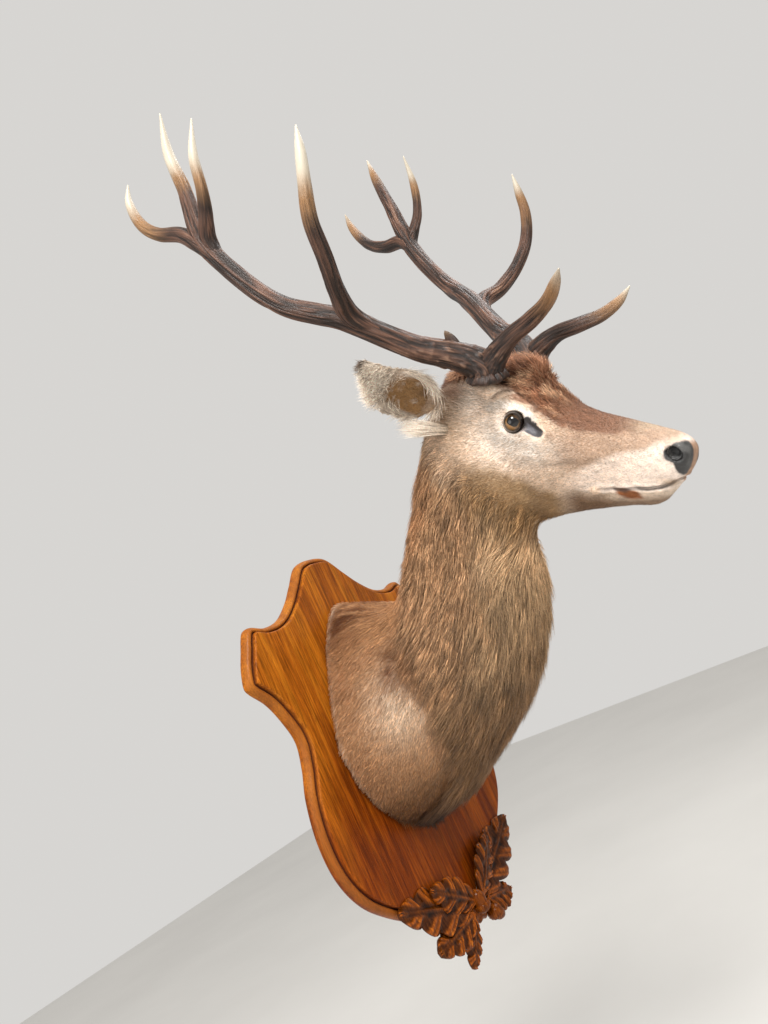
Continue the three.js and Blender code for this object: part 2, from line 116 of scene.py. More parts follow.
def noise(points, size, seed=0):
    """Smooth noise from -1 to 1 with bumps about `size` across, in the unit of the points."""
    q = points / size
    cell = np.floor(q).astype(np.int64)
    f = q - cell
    f = f * f * (3.0 - 2.0 * f)
    total = np.zeros(len(points))
    for corner in range(8):
        step = np.array([(corner >> axis) & 1 for axis in range(3)])
        weight = np.where(step, f, 1.0 - f).prod(axis=1)
        total += weight * lattice(cell + step, seed)
    return total


def spline(rows, steps, closed=False):
    """A centripetal Catmull-Rom curve through rows of numbers, with `steps` points for each span.

    The first three numbers of a row are its place, and the rest follow along."""
    rows = np.asarray(rows, float)
    if closed:
        padded = np.vstack((rows[-1], rows, rows[:2]))
    else:
        padded = np.vstack((2 * rows[0] - rows[1], rows, 2 * rows[-1] - rows[-2]))
    gaps = np.sqrt(np.linalg.norm(np.diff(padded[:, :3], axis=0), axis=1))
    t = (np.arange(steps) / steps)[:, None]
    spans = []
    for i in range(len(padded) - 3):
        a, b, c, d = padded[i : i + 4]
        before, here, after = gaps[i : i + 3]
        start = ((b - a) / before - (c - a) / (before + here) + (c - b) / here) * here
        end = ((c - b) / here - (d - b) / (here + after) + (d - c) / after) * here
        cubic = (2 * b - 2 * c + start + end) * t**3 + (3 * c - 3 * b - 2 * start - end) * t**2
        spans.append(cubic + start * t + b)
    return np.vstack(spans if closed else spans + [rows[-1:]])


def path_distance(points, path):
    """How far each point is from a bent line, and its share of the way along it."""
    path = np.asarray(path, float)
    before = running_length(path)
    best = np.full(len(points), np.inf)
    along = np.zeros(len(points))
    for i, run in enumerate(np.diff(path, axis=0)):
        length = before[i + 1] - before[i]
        t = np.clip(((points - path[i]) @ run) / max(length * length, 1e-9), 0.0, 1.0)
        gap = np.linalg.norm(points - path[i] - t[:, None] * run, axis=1)
        nearer = gap < best
        best[nearer] = gap[nearer]
        along[nearer] = (before[i] + t[nearer] * length) / before[-1]
    return best, along


def running_length(line):
    """The length of a bent line up to each of its points."""
    return np.concatenate(([0.0], np.cumsum(np.linalg.norm(np.diff(line, axis=0), axis=1))))


def bell(value, width):
    """1 where the value is 0, fading to 0 beyond the width on both sides."""
    return np.exp(-((value / width) ** 2))


def blob(points, centre, radii):
    """1 at the centre of a soft round patch, fading to 0 beyond its radii."""
    return np.exp(-(((points - np.array(centre)) / np.array(radii)) ** 2).sum(axis=1))


def rotated(a, b, degrees):
    """Two coordinates after a turn from the first axis to the second."""
    angle = math.radians(degrees)
    return a * math.cos(angle) - b * math.sin(angle), a * math.sin(angle) + b * math.cos(angle)


def noise_vectors(points, size, seed):
    """Three noises at each point, as one vector."""
    return np.column_stack([noise(points, size, seed + k) for k in range(3)])


def nearest_of(centres, points):
    """Which of the centres is nearest to each point."""
    tree = kdtree.KDTree(len(centres))
    for i, centre in enumerate(centres):
        tree.insert(centre, i)
    tree.balance()
    return np.array([tree.find(p)[1] for p in points])


def linear(red, green, blue):
    """A colour given as 0 to 255 on a screen, as one row of the light that it stands for."""
    c = np.array([(red, green, blue)]) / 255.0
    return np.where(c <= 0.04045, c / 12.92, ((c + 0.055) / 1.055) ** 2.4)


def rgba(colour):
    """A colour or a grey, as four numbers for a node."""
    return (*np.broadcast_to(np.ravel(colour), 3).tolist(), 1.0)


HEAD_AXES = turn_matrix(*HEAD_TURN)


def to_head(points):
    """Points in metres, as millimetres along the head's own axes."""
    return (points / MM - HEAD_PLACE) @ HEAD_AXES


def from_head(points):
    return (np.asarray(points, float) @ HEAD_AXES.T + HEAD_PLACE) * MM


# ---------------------------------------------------------------- meshes


def mesh_object(name, points, faces):
    """One object from arrays of points and of faces with equally many corners."""
    faces = np.asarray(faces, np.int32)
    corners = faces.shape[1]
    mesh = bpy.data.meshes.new(name)
    mesh.vertices.add(len(points))
    mesh.vertices.foreach_set("co", np.asarray(points, np.float32).ravel())
    mesh.loops.add(faces.size)
    mesh.loops.foreach_set("vertex_index", faces.ravel())
    mesh.polygons.add(len(faces))
    mesh.polygons.foreach_set("loop_start", np.arange(len(faces), dtype=np.int32) * corners)
    mesh.polygons.foreach_set("loop_total", np.full(len(faces), corners, np.int32))
    mesh.polygons.foreach_set("use_smooth", np.full(len(faces), True))
    mesh.update(calc_edges=True)
    obj = bpy.data.objects.new(name, mesh)
    bpy.context.collection.objects.link(obj)
    return obj


def join_parts(parts):
    """Puts several (points, faces) pairs together as one."""
    starts = np.cumsum([0] + [len(points) for points, _ in parts])
    faces = [np.asarray(part_faces) + start for (_, part_faces), start in zip(parts, starts)]
    return np.vstack([points for points, _ in parts]), np.vstack(faces)


def ring_faces(rings, around):
    """The triangles between rings of points that follow one another."""
    grid = np.arange(rings * around).reshape(rings, around)
    a, b = grid[:-1].ravel(), np.roll(grid, -1, axis=1)[:-1].ravel()
    return np.vstack((np.column_stack((a, b, b + around)), np.column_stack((a, b + around, a + around))))


def fan_faces(ring, middle):
    """The triangles from a closed ring of points to one point."""
    return np.column_stack((ring, np.roll(ring, -1), np.full(len(ring), middle)))


def read_items(items, key, columns, kind):
    """Reads one property of all items of a mesh into rows."""
    values = np.empty(len(items) * columns, kind)
    items.foreach_get(key, values)
    return values.reshape(-1, columns)


def mesh_points(mesh):
    return read_items(mesh.vertices, "co", 3, np.float32).astype(float)


def set_mesh_points(mesh, points):
    mesh.vertices.foreach_set("co", points.astype(np.float32).ravel())
    mesh.update()


def mesh_triangles(mesh):
    mesh.calc_loop_triangles()
    return read_items(mesh.loop_triangles, "vertices", 3, np.int32)


def mesh_edges(mesh):
    return read_items(mesh.edges, "vertices", 2, np.int32)


def vertex_normals(points, faces):
    a, b, c = (points[faces[:, k]] for k in range(3))
    face = np.cross(b - a, c - a)
    total = np.zeros_like(points)
    for k in range(3):
        for axis in range(3):
            total[:, axis] += np.bincount(faces[:, k], face[:, axis], len(points))
    return unit(total)


def relax(points, edges, strength, rounds):
    """Moves each point towards the middle of its neighbours, by its own strength."""
    points = points.copy()
    count = np.bincount(edges.ravel(), minlength=len(points)).astype(float)[:, None]
    strength = np.broadcast_to(strength, len(points))[:, None]
    for _ in range(rounds):
        total = np.zeros_like(points)
        for axis in range(3):
            total[:, axis] = np.bincount(edges[:, 0], points[edges[:, 1], axis], len(points))
            total[:, axis] += np.bincount(edges[:, 1], points[edges[:, 0], axis], len(points))
        points += strength * (total / np.maximum(count, 1) - points)
    return points


def remeshed(points, faces, voxel):
    """The same outer shape as one closed mesh of even quads."""
    obj = mesh_object("remesh_source", points, faces)
    change = obj.modifiers.new("remesh", "REMESH")
    change.mode = "VOXEL"
    change.voxel_size = voxel
    graph = bpy.context.evaluated_depsgraph_get()
    mesh = bpy.data.meshes.new_from_object(obj.evaluated_get(graph))
    bpy.data.objects.remove(obj)
    return mesh


def point_colours(obj, name, colours):
    """Stores a colour or a grey for each point, which the material reads by this name."""
    rgba_rows = np.ones((len(colours), 4), np.float32)
    rgba_rows[:, :3] = colours if np.ndim(colours) > 1 else colours[:, None]
    layer = obj.data.color_attributes.new(name=name, type="FLOAT_COLOR", domain="POINT")
    layer.data.foreach_set("color", rgba_rows.ravel())


# ---------------------------------------------------------------- materials


class Paint:
    """A node material: its shader, and short ways to add and join nodes."""

    def __init__(self, name, **inputs):
        self.material = bpy.data.materials.new(name)
        self.material.use_nodes = True
        self.tree = self.material.node_tree
        self.shader = self.tree.nodes["Principled BSDF"]
        self.use(**inputs)

    def feed(self, node, socket, value):
        """Links an output to a socket, or gives the socket a constant."""
        if isinstance(value, bpy.types.NodeSocket):
            self.tree.links.new(value, node.inputs[socket])
        else:
            node.inputs[socket].default_value = value

    def use(self, **inputs):
        """Feeds the shader's own sockets."""
        for socket, value in inputs.items():
            self.feed(self.shader, socket.replace("_", " "), value)

    def add(self, kind, sockets, **settings):
        """A node with its settings, and with its sockets fed."""
        node = self.tree.nodes.new("ShaderNode" + kind)
        for key, value in settings.items():
            setattr(node, key, value)
        for socket, value in sockets.items():
            self.feed(node, socket, value)
        return node

    def place(self, scale=(1, 1, 1), turn=(0, 0, 0)):
        """Object coordinates, stretched or turned."""
        where = self.add("TexCoord", {}).outputs["Object"]
        turn = [math.radians(a) for a in turn]
        return self.add("Mapping", {"Vector": where, "Scale": scale, "Rotation": turn}).outputs[0]

    def noise(self, where, scale, detail=4.0, roughness=0.55, distortion=0.0):
        sockets = {"Vector": where, "Scale": scale, "Detail": detail, "Roughness": roughness}
        return self.add("TexNoise", {**sockets, "Distortion": distortion}).outputs["Fac"]

    def steps(self, value, *stops):
        """A colour ramp from (place, colour) stops, or (place, grey) ones."""
        node = self.add("ValToRGB", {"Fac": value})
        band = node.color_ramp.elements
        while len(band) < len(stops):
            band.new(0.5)
        for element, (place, colour) in zip(band, stops):
            element.position = place
            element.color = rgba(colour)
        return node.outputs["Color"]

    def attribute(self, name, output="Color"):
        return self.add("Attribute", {}, attribute_name=name).outputs[output]

    def blend(self, share, low, high, way="MIX"):
        """Mixes two colours, greys or outputs by a share or by an output."""
        low, high = (v if isinstance(v, bpy.types.NodeSocket) else rgba(v) for v in (low, high))
        settings = {"data_type": "RGBA", "blend_type": way, "clamp_result": False}
        return self.add("Mix", {0: share, 6: low, 7: high}, **settings).outputs[2]

    def times(self, first, second):
        return self.blend(1.0, first, second, "MULTIPLY")

    def maths(self, way, *values):
        return self.add("Math", dict(enumerate(values)), operation=way).outputs[0]

    def bump(self, height, distance, strength):
        sockets = {"Height": height, "Distance": distance, "Strength": strength}
        self.use(Normal=self.add("Bump", sockets).outputs["Normal"])


# ---------------------------------------------------------------- camera, light and floor

CAMERA_PLACE = (-1.2546, -1.028, 0.100)
CAMERA_AZIMUTH = 57.20
CAMERA_ELEVATION = 10.09
CAMERA_ROLL = -25.94
CAMERA_LENS = 29.31
SENSOR = 36.0
FLOOR_DROP = 0.62
FLOOR_REACH = 6.0
# Name, place, the place it aims at, size, power and colour of each light.
LIGHTS = [
    ("key_light", (-2.0, -1.7, 2.7), (0, -0.35, 0.2), 1.4, 150.0, (1.0, 0.985, 0.96)),
    ("fill_light", (-2.8, 0.6, 0.9), (0, -0.25, 0.1), 2.2, 26.0, (1.0, 0.98, 0.95)),
    ("rim_light", (1.4, -1.2, 2.4), (0, -0.4, 0.4), 1.4, 34.0, (1.0, 1.0, 1.0)),
]


def make_camera():
    azimuth, elevation = math.radians(CAMERA_AZIMUTH), math.radians(CAMERA_ELEVATION)
    level = Vector((math.sin(azimuth), math.cos(azimuth), 0.0)) * math.cos(elevation)
    ahead = level + Vector((0.0, 0.0, math.sin(elevation)))
    aside = ahead.cross(Vector((0, 0, 1))).normalized()
    roll = math.radians(CAMERA_ROLL)
    right = aside * math.cos(roll) + aside.cross(ahead) * math.sin(roll)
    up = right.cross(ahead)
    data = bpy.data.cameras.new("camera")
    data.lens = CAMERA_LENS
    data.sensor_width = SENSOR
    data.clip_start = 0.01
    camera = bpy.data.objects.new("camera", data)
    turned = Matrix((right, up, -ahead)).transposed().to_4x4()
    camera.matrix_world = Matrix.Translation(CAMERA_PLACE) @ turned
    bpy.context.collection.objects.link(camera)
    bpy.context.scene.camera = camera


def make_light(name, place, target, size, power, colour):
    data = bpy.data.lights.new(name, "AREA")
    data.shape = "DISK"
    data.size = size
    data.energy = power
    data.color = colour
    light = bpy.data.objects.new(name, data)
    aim = (Vector(target) - Vector(place)).to_track_quat("-Z", "Y")
    light.matrix_world = Matrix.Translation(place) @ aim.to_matrix().to_4x4()
    bpy.context.collection.objects.link(light)


def make_studio():
    for light in LIGHTS:
        make_light(*light)
    world = bpy.data.worlds.new("studio")
    world.use_nodes = True
    background = world.node_tree.nodes["Background"]
    background.inputs["Color"].default_value = (1.0, 0.98, 0.95, 1.0)
    background.inputs["Strength"].default_value = 0.68
    bpy.context.scene.world = world
    floor_level = CAD_BOX[0][2] - FLOOR_DROP
    corners = ((-1, -1), (1, -1), (1, 1), (-1, 1))
    points = [(x * FLOOR_REACH, y * FLOOR_REACH, floor_level) for x, y in corners]
    floor = mesh_object("studio_floor", points, [(0, 1, 2, 3)])
    paint = Paint("studio_floor", Roughness=0.7)
    shade = paint.noise(paint.place(), 1.3)
    paint.use(Base_Color=paint.steps(shade, (0.3, linear(214, 212, 208)), (0.7, linear(220, 218, 214))))
    floor.data.materials.append(paint.material)


# ---------------------------------------------------------------- skin

SKIN_VOXEL = 4.2 * MM
SHELL_GROWTH = 0.45 * MM
SKIN_ROUNDS = 34
BOARD_FACE = -28.6 * MM
EYE = np.array((58.5, 8.0, -1.2))
EYE_RADIUS = 17.4
EYE_AIM = unit(np.array((0.93, -0.33, 0.12)))
LID_HALF_LONG = 15.6
LID_HALF_HIGH = 11.4
EYE_TILT = math.radians(16.0)
EYE_BACK = unit(np.array((0.0, math.cos(EYE_TILT), math.sin(EYE_TILT))))
EYE_BACK = unit(EYE_BACK - EYE_AIM * (EYE_BACK @ EYE_AIM))
EYE_UP = unit(np.cross(EYE_AIM, EYE_BACK))
EAR_ROOT = np.array((70.0, 140.0, 12.0))
EAR_TIP = np.array((226.0, 199.0, 84.0))
EAR_FOOT = (84.0, 136.0, -30.0)
EAR_RUN = unit(EAR_TIP - EAR_ROOT)
EAR_FACING = np.array((0.3, -0.86, -0.2))
EAR_FACING = unit(EAR_FACING - EAR_RUN * (EAR_RUN @ EAR_FACING))
EAR_ABOVE = np.cross(EAR_FACING, EAR_RUN)
# The middle of the cup from the ear's root, along the ear and above it.
EAR_CUP = (56.0, -14.0)
EAR_END = 0.95
# The ear by share of the way to its tip: the upper and the lower edge of its outline from its middle
# line, and how deep the middle of its wall lies behind its face, in millimetres.
EAR_SHAPE = [
    (-0.04, 18, -28, 6), (0.1, 24, -50, 17), (0.27, 29, -58, 24), (0.45, 25, -65, 21.5),
    (0.6, 17, -53, 16), (0.76, 13.5, -36, 9), (0.91, 9.5, -18, 4), (1.01, 2, -3, 1),
]

# Lines on the head's right half, in its own millimetres: (out from the middle, back, up).
MOUTH_LINE = [(0, -262, -50), (22, -254, -53), (26, -240, -61), (29, -194, -73), (33, -156, -83)]
MOUTH_LINE += [(38, -130, -88)]
GLAND_LINE = [(66, -3, 1), (64, -21, -3), (60, -39, -11)]
LINES = {
    "mouth": MOUTH_LINE,
    "gland": GLAND_LINE,
    "brow": [(66, 52, 15), (66, 40, 20), (66, 28, 23), (64, 12, 22), (62, -6, 19), (60, -22, 12)],
    "wrinkle": [(66, 50, 24), (66, 42, 36), (62, 29, 46), (56, 14, 50), (54, -10, 42), (54, -30, 32)],
    "fold": [(70, 24, -14), (72, 8, -23), (70, -10, -23), (66, -26, -19)],
    "cheek": [(66, -22, -52), (60, -62, -50), (48, -105, -38), (40, -140, -30)],
}
# Grooves along those lines: depth, width and how far they wander. A depth below 0 is a swelling.
GROOVES = [
    ("gland", 3.0, 5.0, 0.0), ("gland", -0.8, 9.5, 0.0), ("wrinkle", 3.8, 2.0, 0.5),
    ("wrinkle", -1.4, 6.0, 0.0), ("fold", 1.3, 2.2, 0.5),
]
NOSTRIL = np.array((27.0, -240.0, -9.0))
LIP_BUMP = np.array((35.0, -131.0, -88.0))

# The middle line of the neck, from the board to the back of the skull, in millimetres.
NECK_LINE = [
    (0, -28, 54), (0, -90, 47), (0, -150, 48), (1, -200, 60), (3, -250, 90), (8, -300, 140),
    (13, -335, 190), (18, -362, 240), (22, -388, 290), (27, -415, 335), (30, -448, 378), (31, -485, 410),
]
POINTS_AT_ONCE = 20000
# Where the long hair of the neck gives way to the short coat of the shoulder: (height, depth) in mm.
SHOULDER_EDGE = [(-160, -40), (-147, -60), (-112, -144), (-69, -193), (0, -220), (53, -226), (106, -206)]
SHOULDER_EDGE += [(147, -206), (203, -228), (260, -250)]


def flesh_shell():
    """The CAD's flesh as one mesh, each node grown a little so that they run into each other."""
    parts = []
    for name in FLESH:
        shape = bmesh.new()
        shape.from_mesh(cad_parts[name].data)
        bmesh.ops.remove_doubles(shape, verts=shape.verts, dist=0.01 * MM)
        bmesh.ops.triangulate(shape, faces=shape.faces)
        shape.normal_update()
        points = np.array([v.co + v.normal * SHELL_GROWTH for v in shape.verts])
        faces = np.array([[v.index for v in f.verts] for f in shape.faces])
        shape.free()
        parts.append((points, faces))
    return join_parts(parts)


def lay_lines(half):
    """Bends the lines of the face and moves them onto the skin, whose points are given."""
    bent = [spline(rows, 3) for rows in LINES.values()]
    laid = half[nearest_of(half, np.vstack(bent))]
    ends = np.cumsum([len(line) for line in bent])[:-1]
    LINES.update(zip(list(LINES), np.split(laid, ends)))


class Places:
    """Where each of some points lies on the animal, as shares and head coordinates."""

    def __init__(self, points):
        self.world = points / MM
        self.head = to_head(points)
        x, y, z = self.head.T
        self.side = np.where(x < 0, -1.0, 1.0)
        self.mirror = np.column_stack((self.side, np.ones((len(x), 2))))
        self.out = np.abs(x)
        self.half = self.head * self.mirror
        self.half_world = np.column_stack((np.abs(self.world[:, 0]), self.world[:, 1:]))
        run = EAR_TIP - EAR_ROOT
        offset = self.half - EAR_ROOT
        self.ear_along = (offset @ run) / (run @ run)
        off = np.linalg.norm(offset - np.clip(self.ear_along, 0, 1)[:, None] * run, axis=1)
        reach = mix(50.0, 72.0, ramp(self.ear_along, 0.1, 0.28))
        self.ear_near = ramp(off, reach, reach - 10)
        self.ear = ramp(self.ear_along, 0.02, 0.14) * self.ear_near * ramp(self.out, 70, 82)
        top, foot, self.ear_wall = table(self.ear_along, EAR_SHAPE)
        self.ear_rim = np.abs(offset @ EAR_ABOVE - (top + foot) / 2) / ((top - foot) / 2)
        below = (-z - 101 + 0.483 * (y - 59)) / 1.11
        self.neck = ramp(below, -22, 52) * (1 - self.ear)
        ragged = 9 * noise(self.head, 16.0, 21) + 7 * noise(self.head, 5.0, 22)
        self.neck_tone = ramp(below + ragged, 6, 50)
        depth = table(self.world[:, 2], SHOULDER_EDGE)
        near_wall = ramp(self.world[:, 1] - depth, -16, 14) * ramp(self.world[:, 2], 280, 262)
        self.shoulder = near_wall * self.neck
        self.above_band = z - table(y, BAND_EDGE)
        self.crown = ramp(self.above_band, 2, 16) * ramp(self.out, 64, 50) * ramp(y, -85, -15)
        self.crown *= ramp(y, 165, 120) * (1 - self.ear)
        self.eye_gap = np.linalg.norm(self.half - EYE, axis=1)

    def line(self, name):
        """How far each point is from a line of the face, and its share of the way along it."""
        return path_distance(self.half, LINES[name])

    def ear_run(self):
        """The way to the tip of the ear on each point's side, in the frame's axes."""
        return (EAR_RUN * self.mirror) @ HEAD_AXES.T


def neck_frame(points):
    """Share of the way along the neck, angle round it, and its direction at the nearest place."""
    line = spline(NECK_LINE, 14) * MM
    runs = unit(np.gradient(line, axis=0))
    lengths = running_length(line)
    parts = np.array_split(points, math.ceil(len(points) / POINTS_AT_ONCE))
    nearest = np.concatenate([((part[:, None] - line) ** 2).sum(axis=2).argmin(axis=1) for part in parts])
    run = runs[nearest]
    sideways = unit(np.cross(run, (1.0, 0.0, 0.0)))
    across = np.cross(sideways, run)
    offset = points - line[nearest]
    angle = np.arctan2((offset * across).sum(axis=1), (offset * sideways).sum(axis=1))
    along = (lengths[nearest] + (offset * run).sum(axis=1)) / lengths[-1]
    return along, angle, run


def refine(mesh, chosen):
    """Halves the edges between the chosen points."""
    shape = bmesh.new()
    shape.from_mesh(mesh)
    edges = [e for e in shape.edges if chosen[e.verts[0].index] and chosen[e.verts[1].index]]
    bmesh.ops.subdivide_edges(shape, edges=edges, cuts=1, use_grid_fill=True)
    bmesh.ops.triangulate(shape, faces=[f for f in shape.faces if len(f.verts) > 4])
    shape.to_mesh(mesh)
    shape.free()


def near_features(points, reach):
    """Picks the points close to the eyes, nostrils, mouth and tear glands."""
    place = Places(points)
    near_line = np.minimum(place.line("mouth")[0], place.line("gland")[0]) < reach
    nostril = np.linalg.norm(place.half - NOSTRIL, axis=1)
    return near_line | (place.eye_gap < 14 + 2.2 * reach) | (nostril < 10 + 1.6 * reach)


def coat_depth(place):
    """How far the skin lies under the tips of the coat, in millimetres."""
    y = place.head[:, 1]
    depth = table(y, [(-262, 0.6), (-235, 1.6), (-150, 2.2), (-60, 2.6), (60, 4.0), (140, 5.5)])
    depth = mix(depth, table(y, [(-80, 4.0), (0, 8.0), (60, 11.0)]), place.crown)
    at_board = ramp(place.world[:, 1], -60, -34)
    for goal, share in ((13.0, place.neck), (8.0, place.shoulder), (1.6, place.ear), (4.0, at_board)):
        depth = mix(depth, goal, share)
    return depth


def eye_plane(half):
    """Places seen from in front of an eye: ahead of it, above it, and how far out of the lids' oval."""
    offset = half - EYE
    long, high = offset @ EYE_BACK, offset @ EYE_UP
    half_long = LID_HALF_LONG * np.where(long < 0, 1.28, 1.0)
    half_high = LID_HALF_HIGH * np.where(high > 0, 1.0, 0.9)
    return offset @ EYE_AIM, high, np.sqrt((long / half_long) ** 2 + (high / half_high) ** 2)


def gland_gap(place):
    """How far each point is outside the wedge of the tear gland, and how far along it."""
    gap, along = place.line("gland")
    return gap - 3.2 * np.sin(np.pi * (0.2 + 0.8 * along)), along


def shape_eye(place):
    """Lids over the eyeball: the skin dips inside the ball and its rim stands round it."""
    ahead, high, q = eye_plane(place.half)
    goal = mix(EYE_RADIUS - 4.5, EYE_RADIUS + 2.4 - 1.0 * ramp(q, 1.25, 1.9), ramp(q, 0.88, 1.08))
    goal -= 1.5 * bell(q - 1.62, 0.13) * ramp(high, -4, 6)
    goal -= 0.8 * bell(q - 1.55, 0.13) * ramp(high, 2, -7)
    moved = EYE + unit(place.half - EYE) * goal[:, None]
    half = mix(place.half, moved, ramp(q, 2.35, 1.35) * ramp(ahead, -12, -2))
    return from_head(half * place.mirror)


def nostril_oval(half):
    """How far out of the nostril's slanting oval each point is: 1 on its rim."""
    offset = half - NOSTRIL
    long, high = rotated(offset[:, 1], offset[:, 2], -32.0)
    return np.sqrt((long / 13.5) ** 2 + ((high + 0.004 * long**2) / 7.6) ** 2)


def shape_face(place, points, normals):
    """Grooves, folds and small swellings of the face, pushed along the skin's normals."""
    half = place.half
    push = np.zeros(len(points))
    for name, depth, width, wander in GROOVES:
        gap, along = place.line(name)
        gap = gap + wander * noise(half, 9.0, 5)
        push -= depth * bell(gap, width) * np.sqrt(np.clip(np.sin(np.pi * (0.06 + 0.9 * along)), 0, 1))
    mouth, along = place.line("mouth")
    fade = ramp(along, 1.0, 0.93)
    push -= (1.5 + 2.5 * ramp(along, 0.75, 0.3)) * bell(mouth, 2.2) * fade
    push += 0.9 * bell(mouth - 6.0, 3.4) * fade
    q = nostril_oval(half)
    outer = ramp(place.out, 10, 16)
    push -= 10.0 * ramp(q, 1.15, 0.55) * outer
    push += 1.6 * bell(q - 1.45, 0.35) * outer
    push += 5.0 * bell(np.linalg.norm(half - LIP_BUMP, axis=1), 6.5)
    push += 1.8 * bell(place.line("cheek")[0], 7.0)
    push -= 3.0 * blob(half, (64, 62, 6), (30, 22, 20))
    return points + normals * (push * MM)[:, None]


def blunt_ears(points):
    """Draws in the thin points that the remesh leaves at the tips of the ears."""
    place = Places(points)
    past = np.maximum(place.ear_along - EAR_END, 0.0) * np.linalg.norm(EAR_TIP - EAR_ROOT)
    return points - place.ear_run() * (0.85 * past * place.ear_near * MM)[:, None]


def build_skin():
    """The one skin over head, ears, neck and shoulders. Returns its object, points and triangles."""
    mesh = remeshed(*flesh_shell(), SKIN_VOXEL)
    points = mesh_points(mesh)
    place = Places(points)
    strength = mix(mix(0.16, 0.62, place.neck), 0.02, place.ear)
    strength *= mix(1.0, 0.25, ramp(place.world[:, 1], -48, -32))
    points = relax(points, mesh_edges(mesh), strength, SKIN_ROUNDS)
    depth = coat_depth(Places(points))
    points -= vertex_normals(points, mesh_triangles(mesh)) * (depth * MM)[:, None]
    points = relax(points, mesh_edges(mesh), 0.3 * (1 - 0.7 * place.ear), 3)
    points[:, 1] = np.minimum(points[:, 1], BOARD_FACE)
    points = blunt_ears(points)
    set_mesh_points(mesh, points)
    lay_lines(Places(points).half)
    for reach in (15.0, 8.0):
        refine(mesh, near_features(mesh_points(mesh), reach))
        points = mesh_points(mesh)
        points = relax(points, mesh_edges(mesh), near_features(points, reach) * 0.5, 4)
        set_mesh_points(mesh, points)
    points = shape_eye(Places(points))
    points = shape_face(Places(points), points, vertex_normals(points, mesh_triangles(mesh)))
    points = relax(points, mesh_edges(mesh), near_features(points, 10.0) * 0.25, 1)
    faces = mesh_triangles(mesh)
    skin = mesh_object("skin", points, faces)
    bpy.data.meshes.remove(mesh)
    return skin, points, faces


# ---------------------------------------------------------------- markings and painted shade

UMBER = linear(118, 74, 42)
CROWN_DARK = linear(116, 78, 58)
CROWN_LIGHT = linear(234, 200, 168)
RED_BROWN = linear(136, 97, 74)
BRIDGE_TAN = linear(188, 170, 148)
SIDE_TAN = linear(188, 160, 138)
CHEEK = linear(230, 205, 182)
CREAM = linear(242, 234, 226)
PALE_PINK = linear(242, 226, 214)
JAW_BROWN = linear(158, 128, 92)
NECK_BROWN = linear(192, 156, 122)
NAPE_BROWN = linear(184, 140, 104)
THROAT_TAN = linear(204, 176, 142)
SHOULDER_TAN = linear(188, 144, 104)
SHOULDER_PALE = linear(240, 214, 188)
EAR_GREY = linear(250, 245, 238)
EAR_TAN = linear(146, 110, 68)
EAR_DARK = linear(84, 62, 44)
NOSE_DARK = linear(44, 43, 43)
NOSE_GREY = linear(98, 97, 95)
NOSE_TIP = linear(162, 122, 92)
LIP_RED = linear(146, 88, 48)
LID_DARK = linear(34, 27, 25)
GLAND_GREY = linear(80, 78, 84)
LID_GREY = linear(146, 134, 132)
MOUTH_DARK = linear(52, 40, 36)
CHIN = linear(206, 186, 164)
# Painted shade: a dark brown laid under the chin, low on the neck and low on the shoulders.
SHADOW_BROWN = linear(106, 70, 32)
# Painted shadow: near black under the foot of the neck and shoulders.
FOOT_SHADOW = linear(20, 10, 4)

# Where the markings and painted shade lie on the head's right half: centre and radii in its own
# millimetres.
UNDER_EYE = ((62, -26, -40), (34, 44, 26))
BEHIND_EYE = ((62, 42, -24), (34, 44, 46))
BELOW_EAR = ((62, 88, 22), (34, 34, 44))
ABOVE_NOSTRIL = ((22, -234, 10), (18, 20, 9))
BROW_LOBE = ((56, -2, 37), (18, 24, 9))
TEMPLE = ((64, 70, 8), (40, 16, 26))
LIP = ((34, -183, -84), (24, 24, 10))
DARK_LIP = ((34, -174, -79), (20, 20, 6))
# Painted shade above the front of the mouth, below the nose.
SHADE_UNDER_NOSE = ((20, -240, -54), (16, 17, 7))
# Painted shade deep in the cup of the ear.
EAR_HOLLOW_SHADE = ((84, 154, 26), (20, 24, 15))
CHEEK_PATCHES = [
    (RED_BROWN * 1.1, 0.6, (57, -57, -13), (14, 6, 5)),
    (CHEEK, 0.75, (88, 106, -88), (34, 32, 36)),
]
EAR_PATCHES = [
    (RED_BROWN * 1.15, 0.9, (62, 128, 30), (26, 22, 18)),
    (CHEEK, 0.8, (78, 146, -58), (34, 28, 32)),
]
# The lower edge of the dark band over forehead and nose: (back from the eyes, up) in mm.
BAND_EDGE = [(-262, 16), (-225, 18), (-190, 13), (-150, 6), (-110, -1), (-65, 3), (-36, 17), (-12, 28)]
BAND_EDGE += [(5, 35), (20, 45), (45, 55), (60, 55), (100, 50), (140, 36), (175, 10)]
# The edge between the tan side of the face and the pale muzzle.
MUZZLE_EDGE = [(-262, 30), (-215, 6), (-190, -12), (-165, -26), (-130, -42), (-100, -62), (-60, -90)]
MOUTH_HEIGHT = [(y, z) for _, y, z in MOUTH_LINE]
GLAND_HEIGHT = [(y, z) for _, y, z in reversed(GLAND_LINE)]


def nose_pad(place):
    """Share of bare dark skin: round the nostril, and in front of it down to the lip."""
    x, y, z = place.half.T
    wander = 0.07 * noise(place.head, 7.0, 3) + 0.05 * noise(place.head, 2.6, 4)
    above = np.sqrt(((y + 243) / 17.5) ** 2 + ((z + 7 + 0.25 * (y + 243)) / 13.5) ** 2)
    below = np.sqrt(((y + 254) / 9.5) ** 2 + ((z + 20) / 21.0) ** 2)
    outside = (above**-3 + below**-3) ** (-1 / 3)
    return ramp(outside + wander, 1.08, 0.88) * ramp(x, 8, 12)


def layered(colour, layers):
    """Lays each (colour, share) over the ones before it."""
    for over, share in layers:
        colour = mix(colour, over, share)
    return colour


def patches(half, rows):
    """Layers for soft patches from rows of colour, strength, centre and radii."""
    return [(colour, strength * blob(half, centre, radii)) for colour, strength, centre, radii in rows]


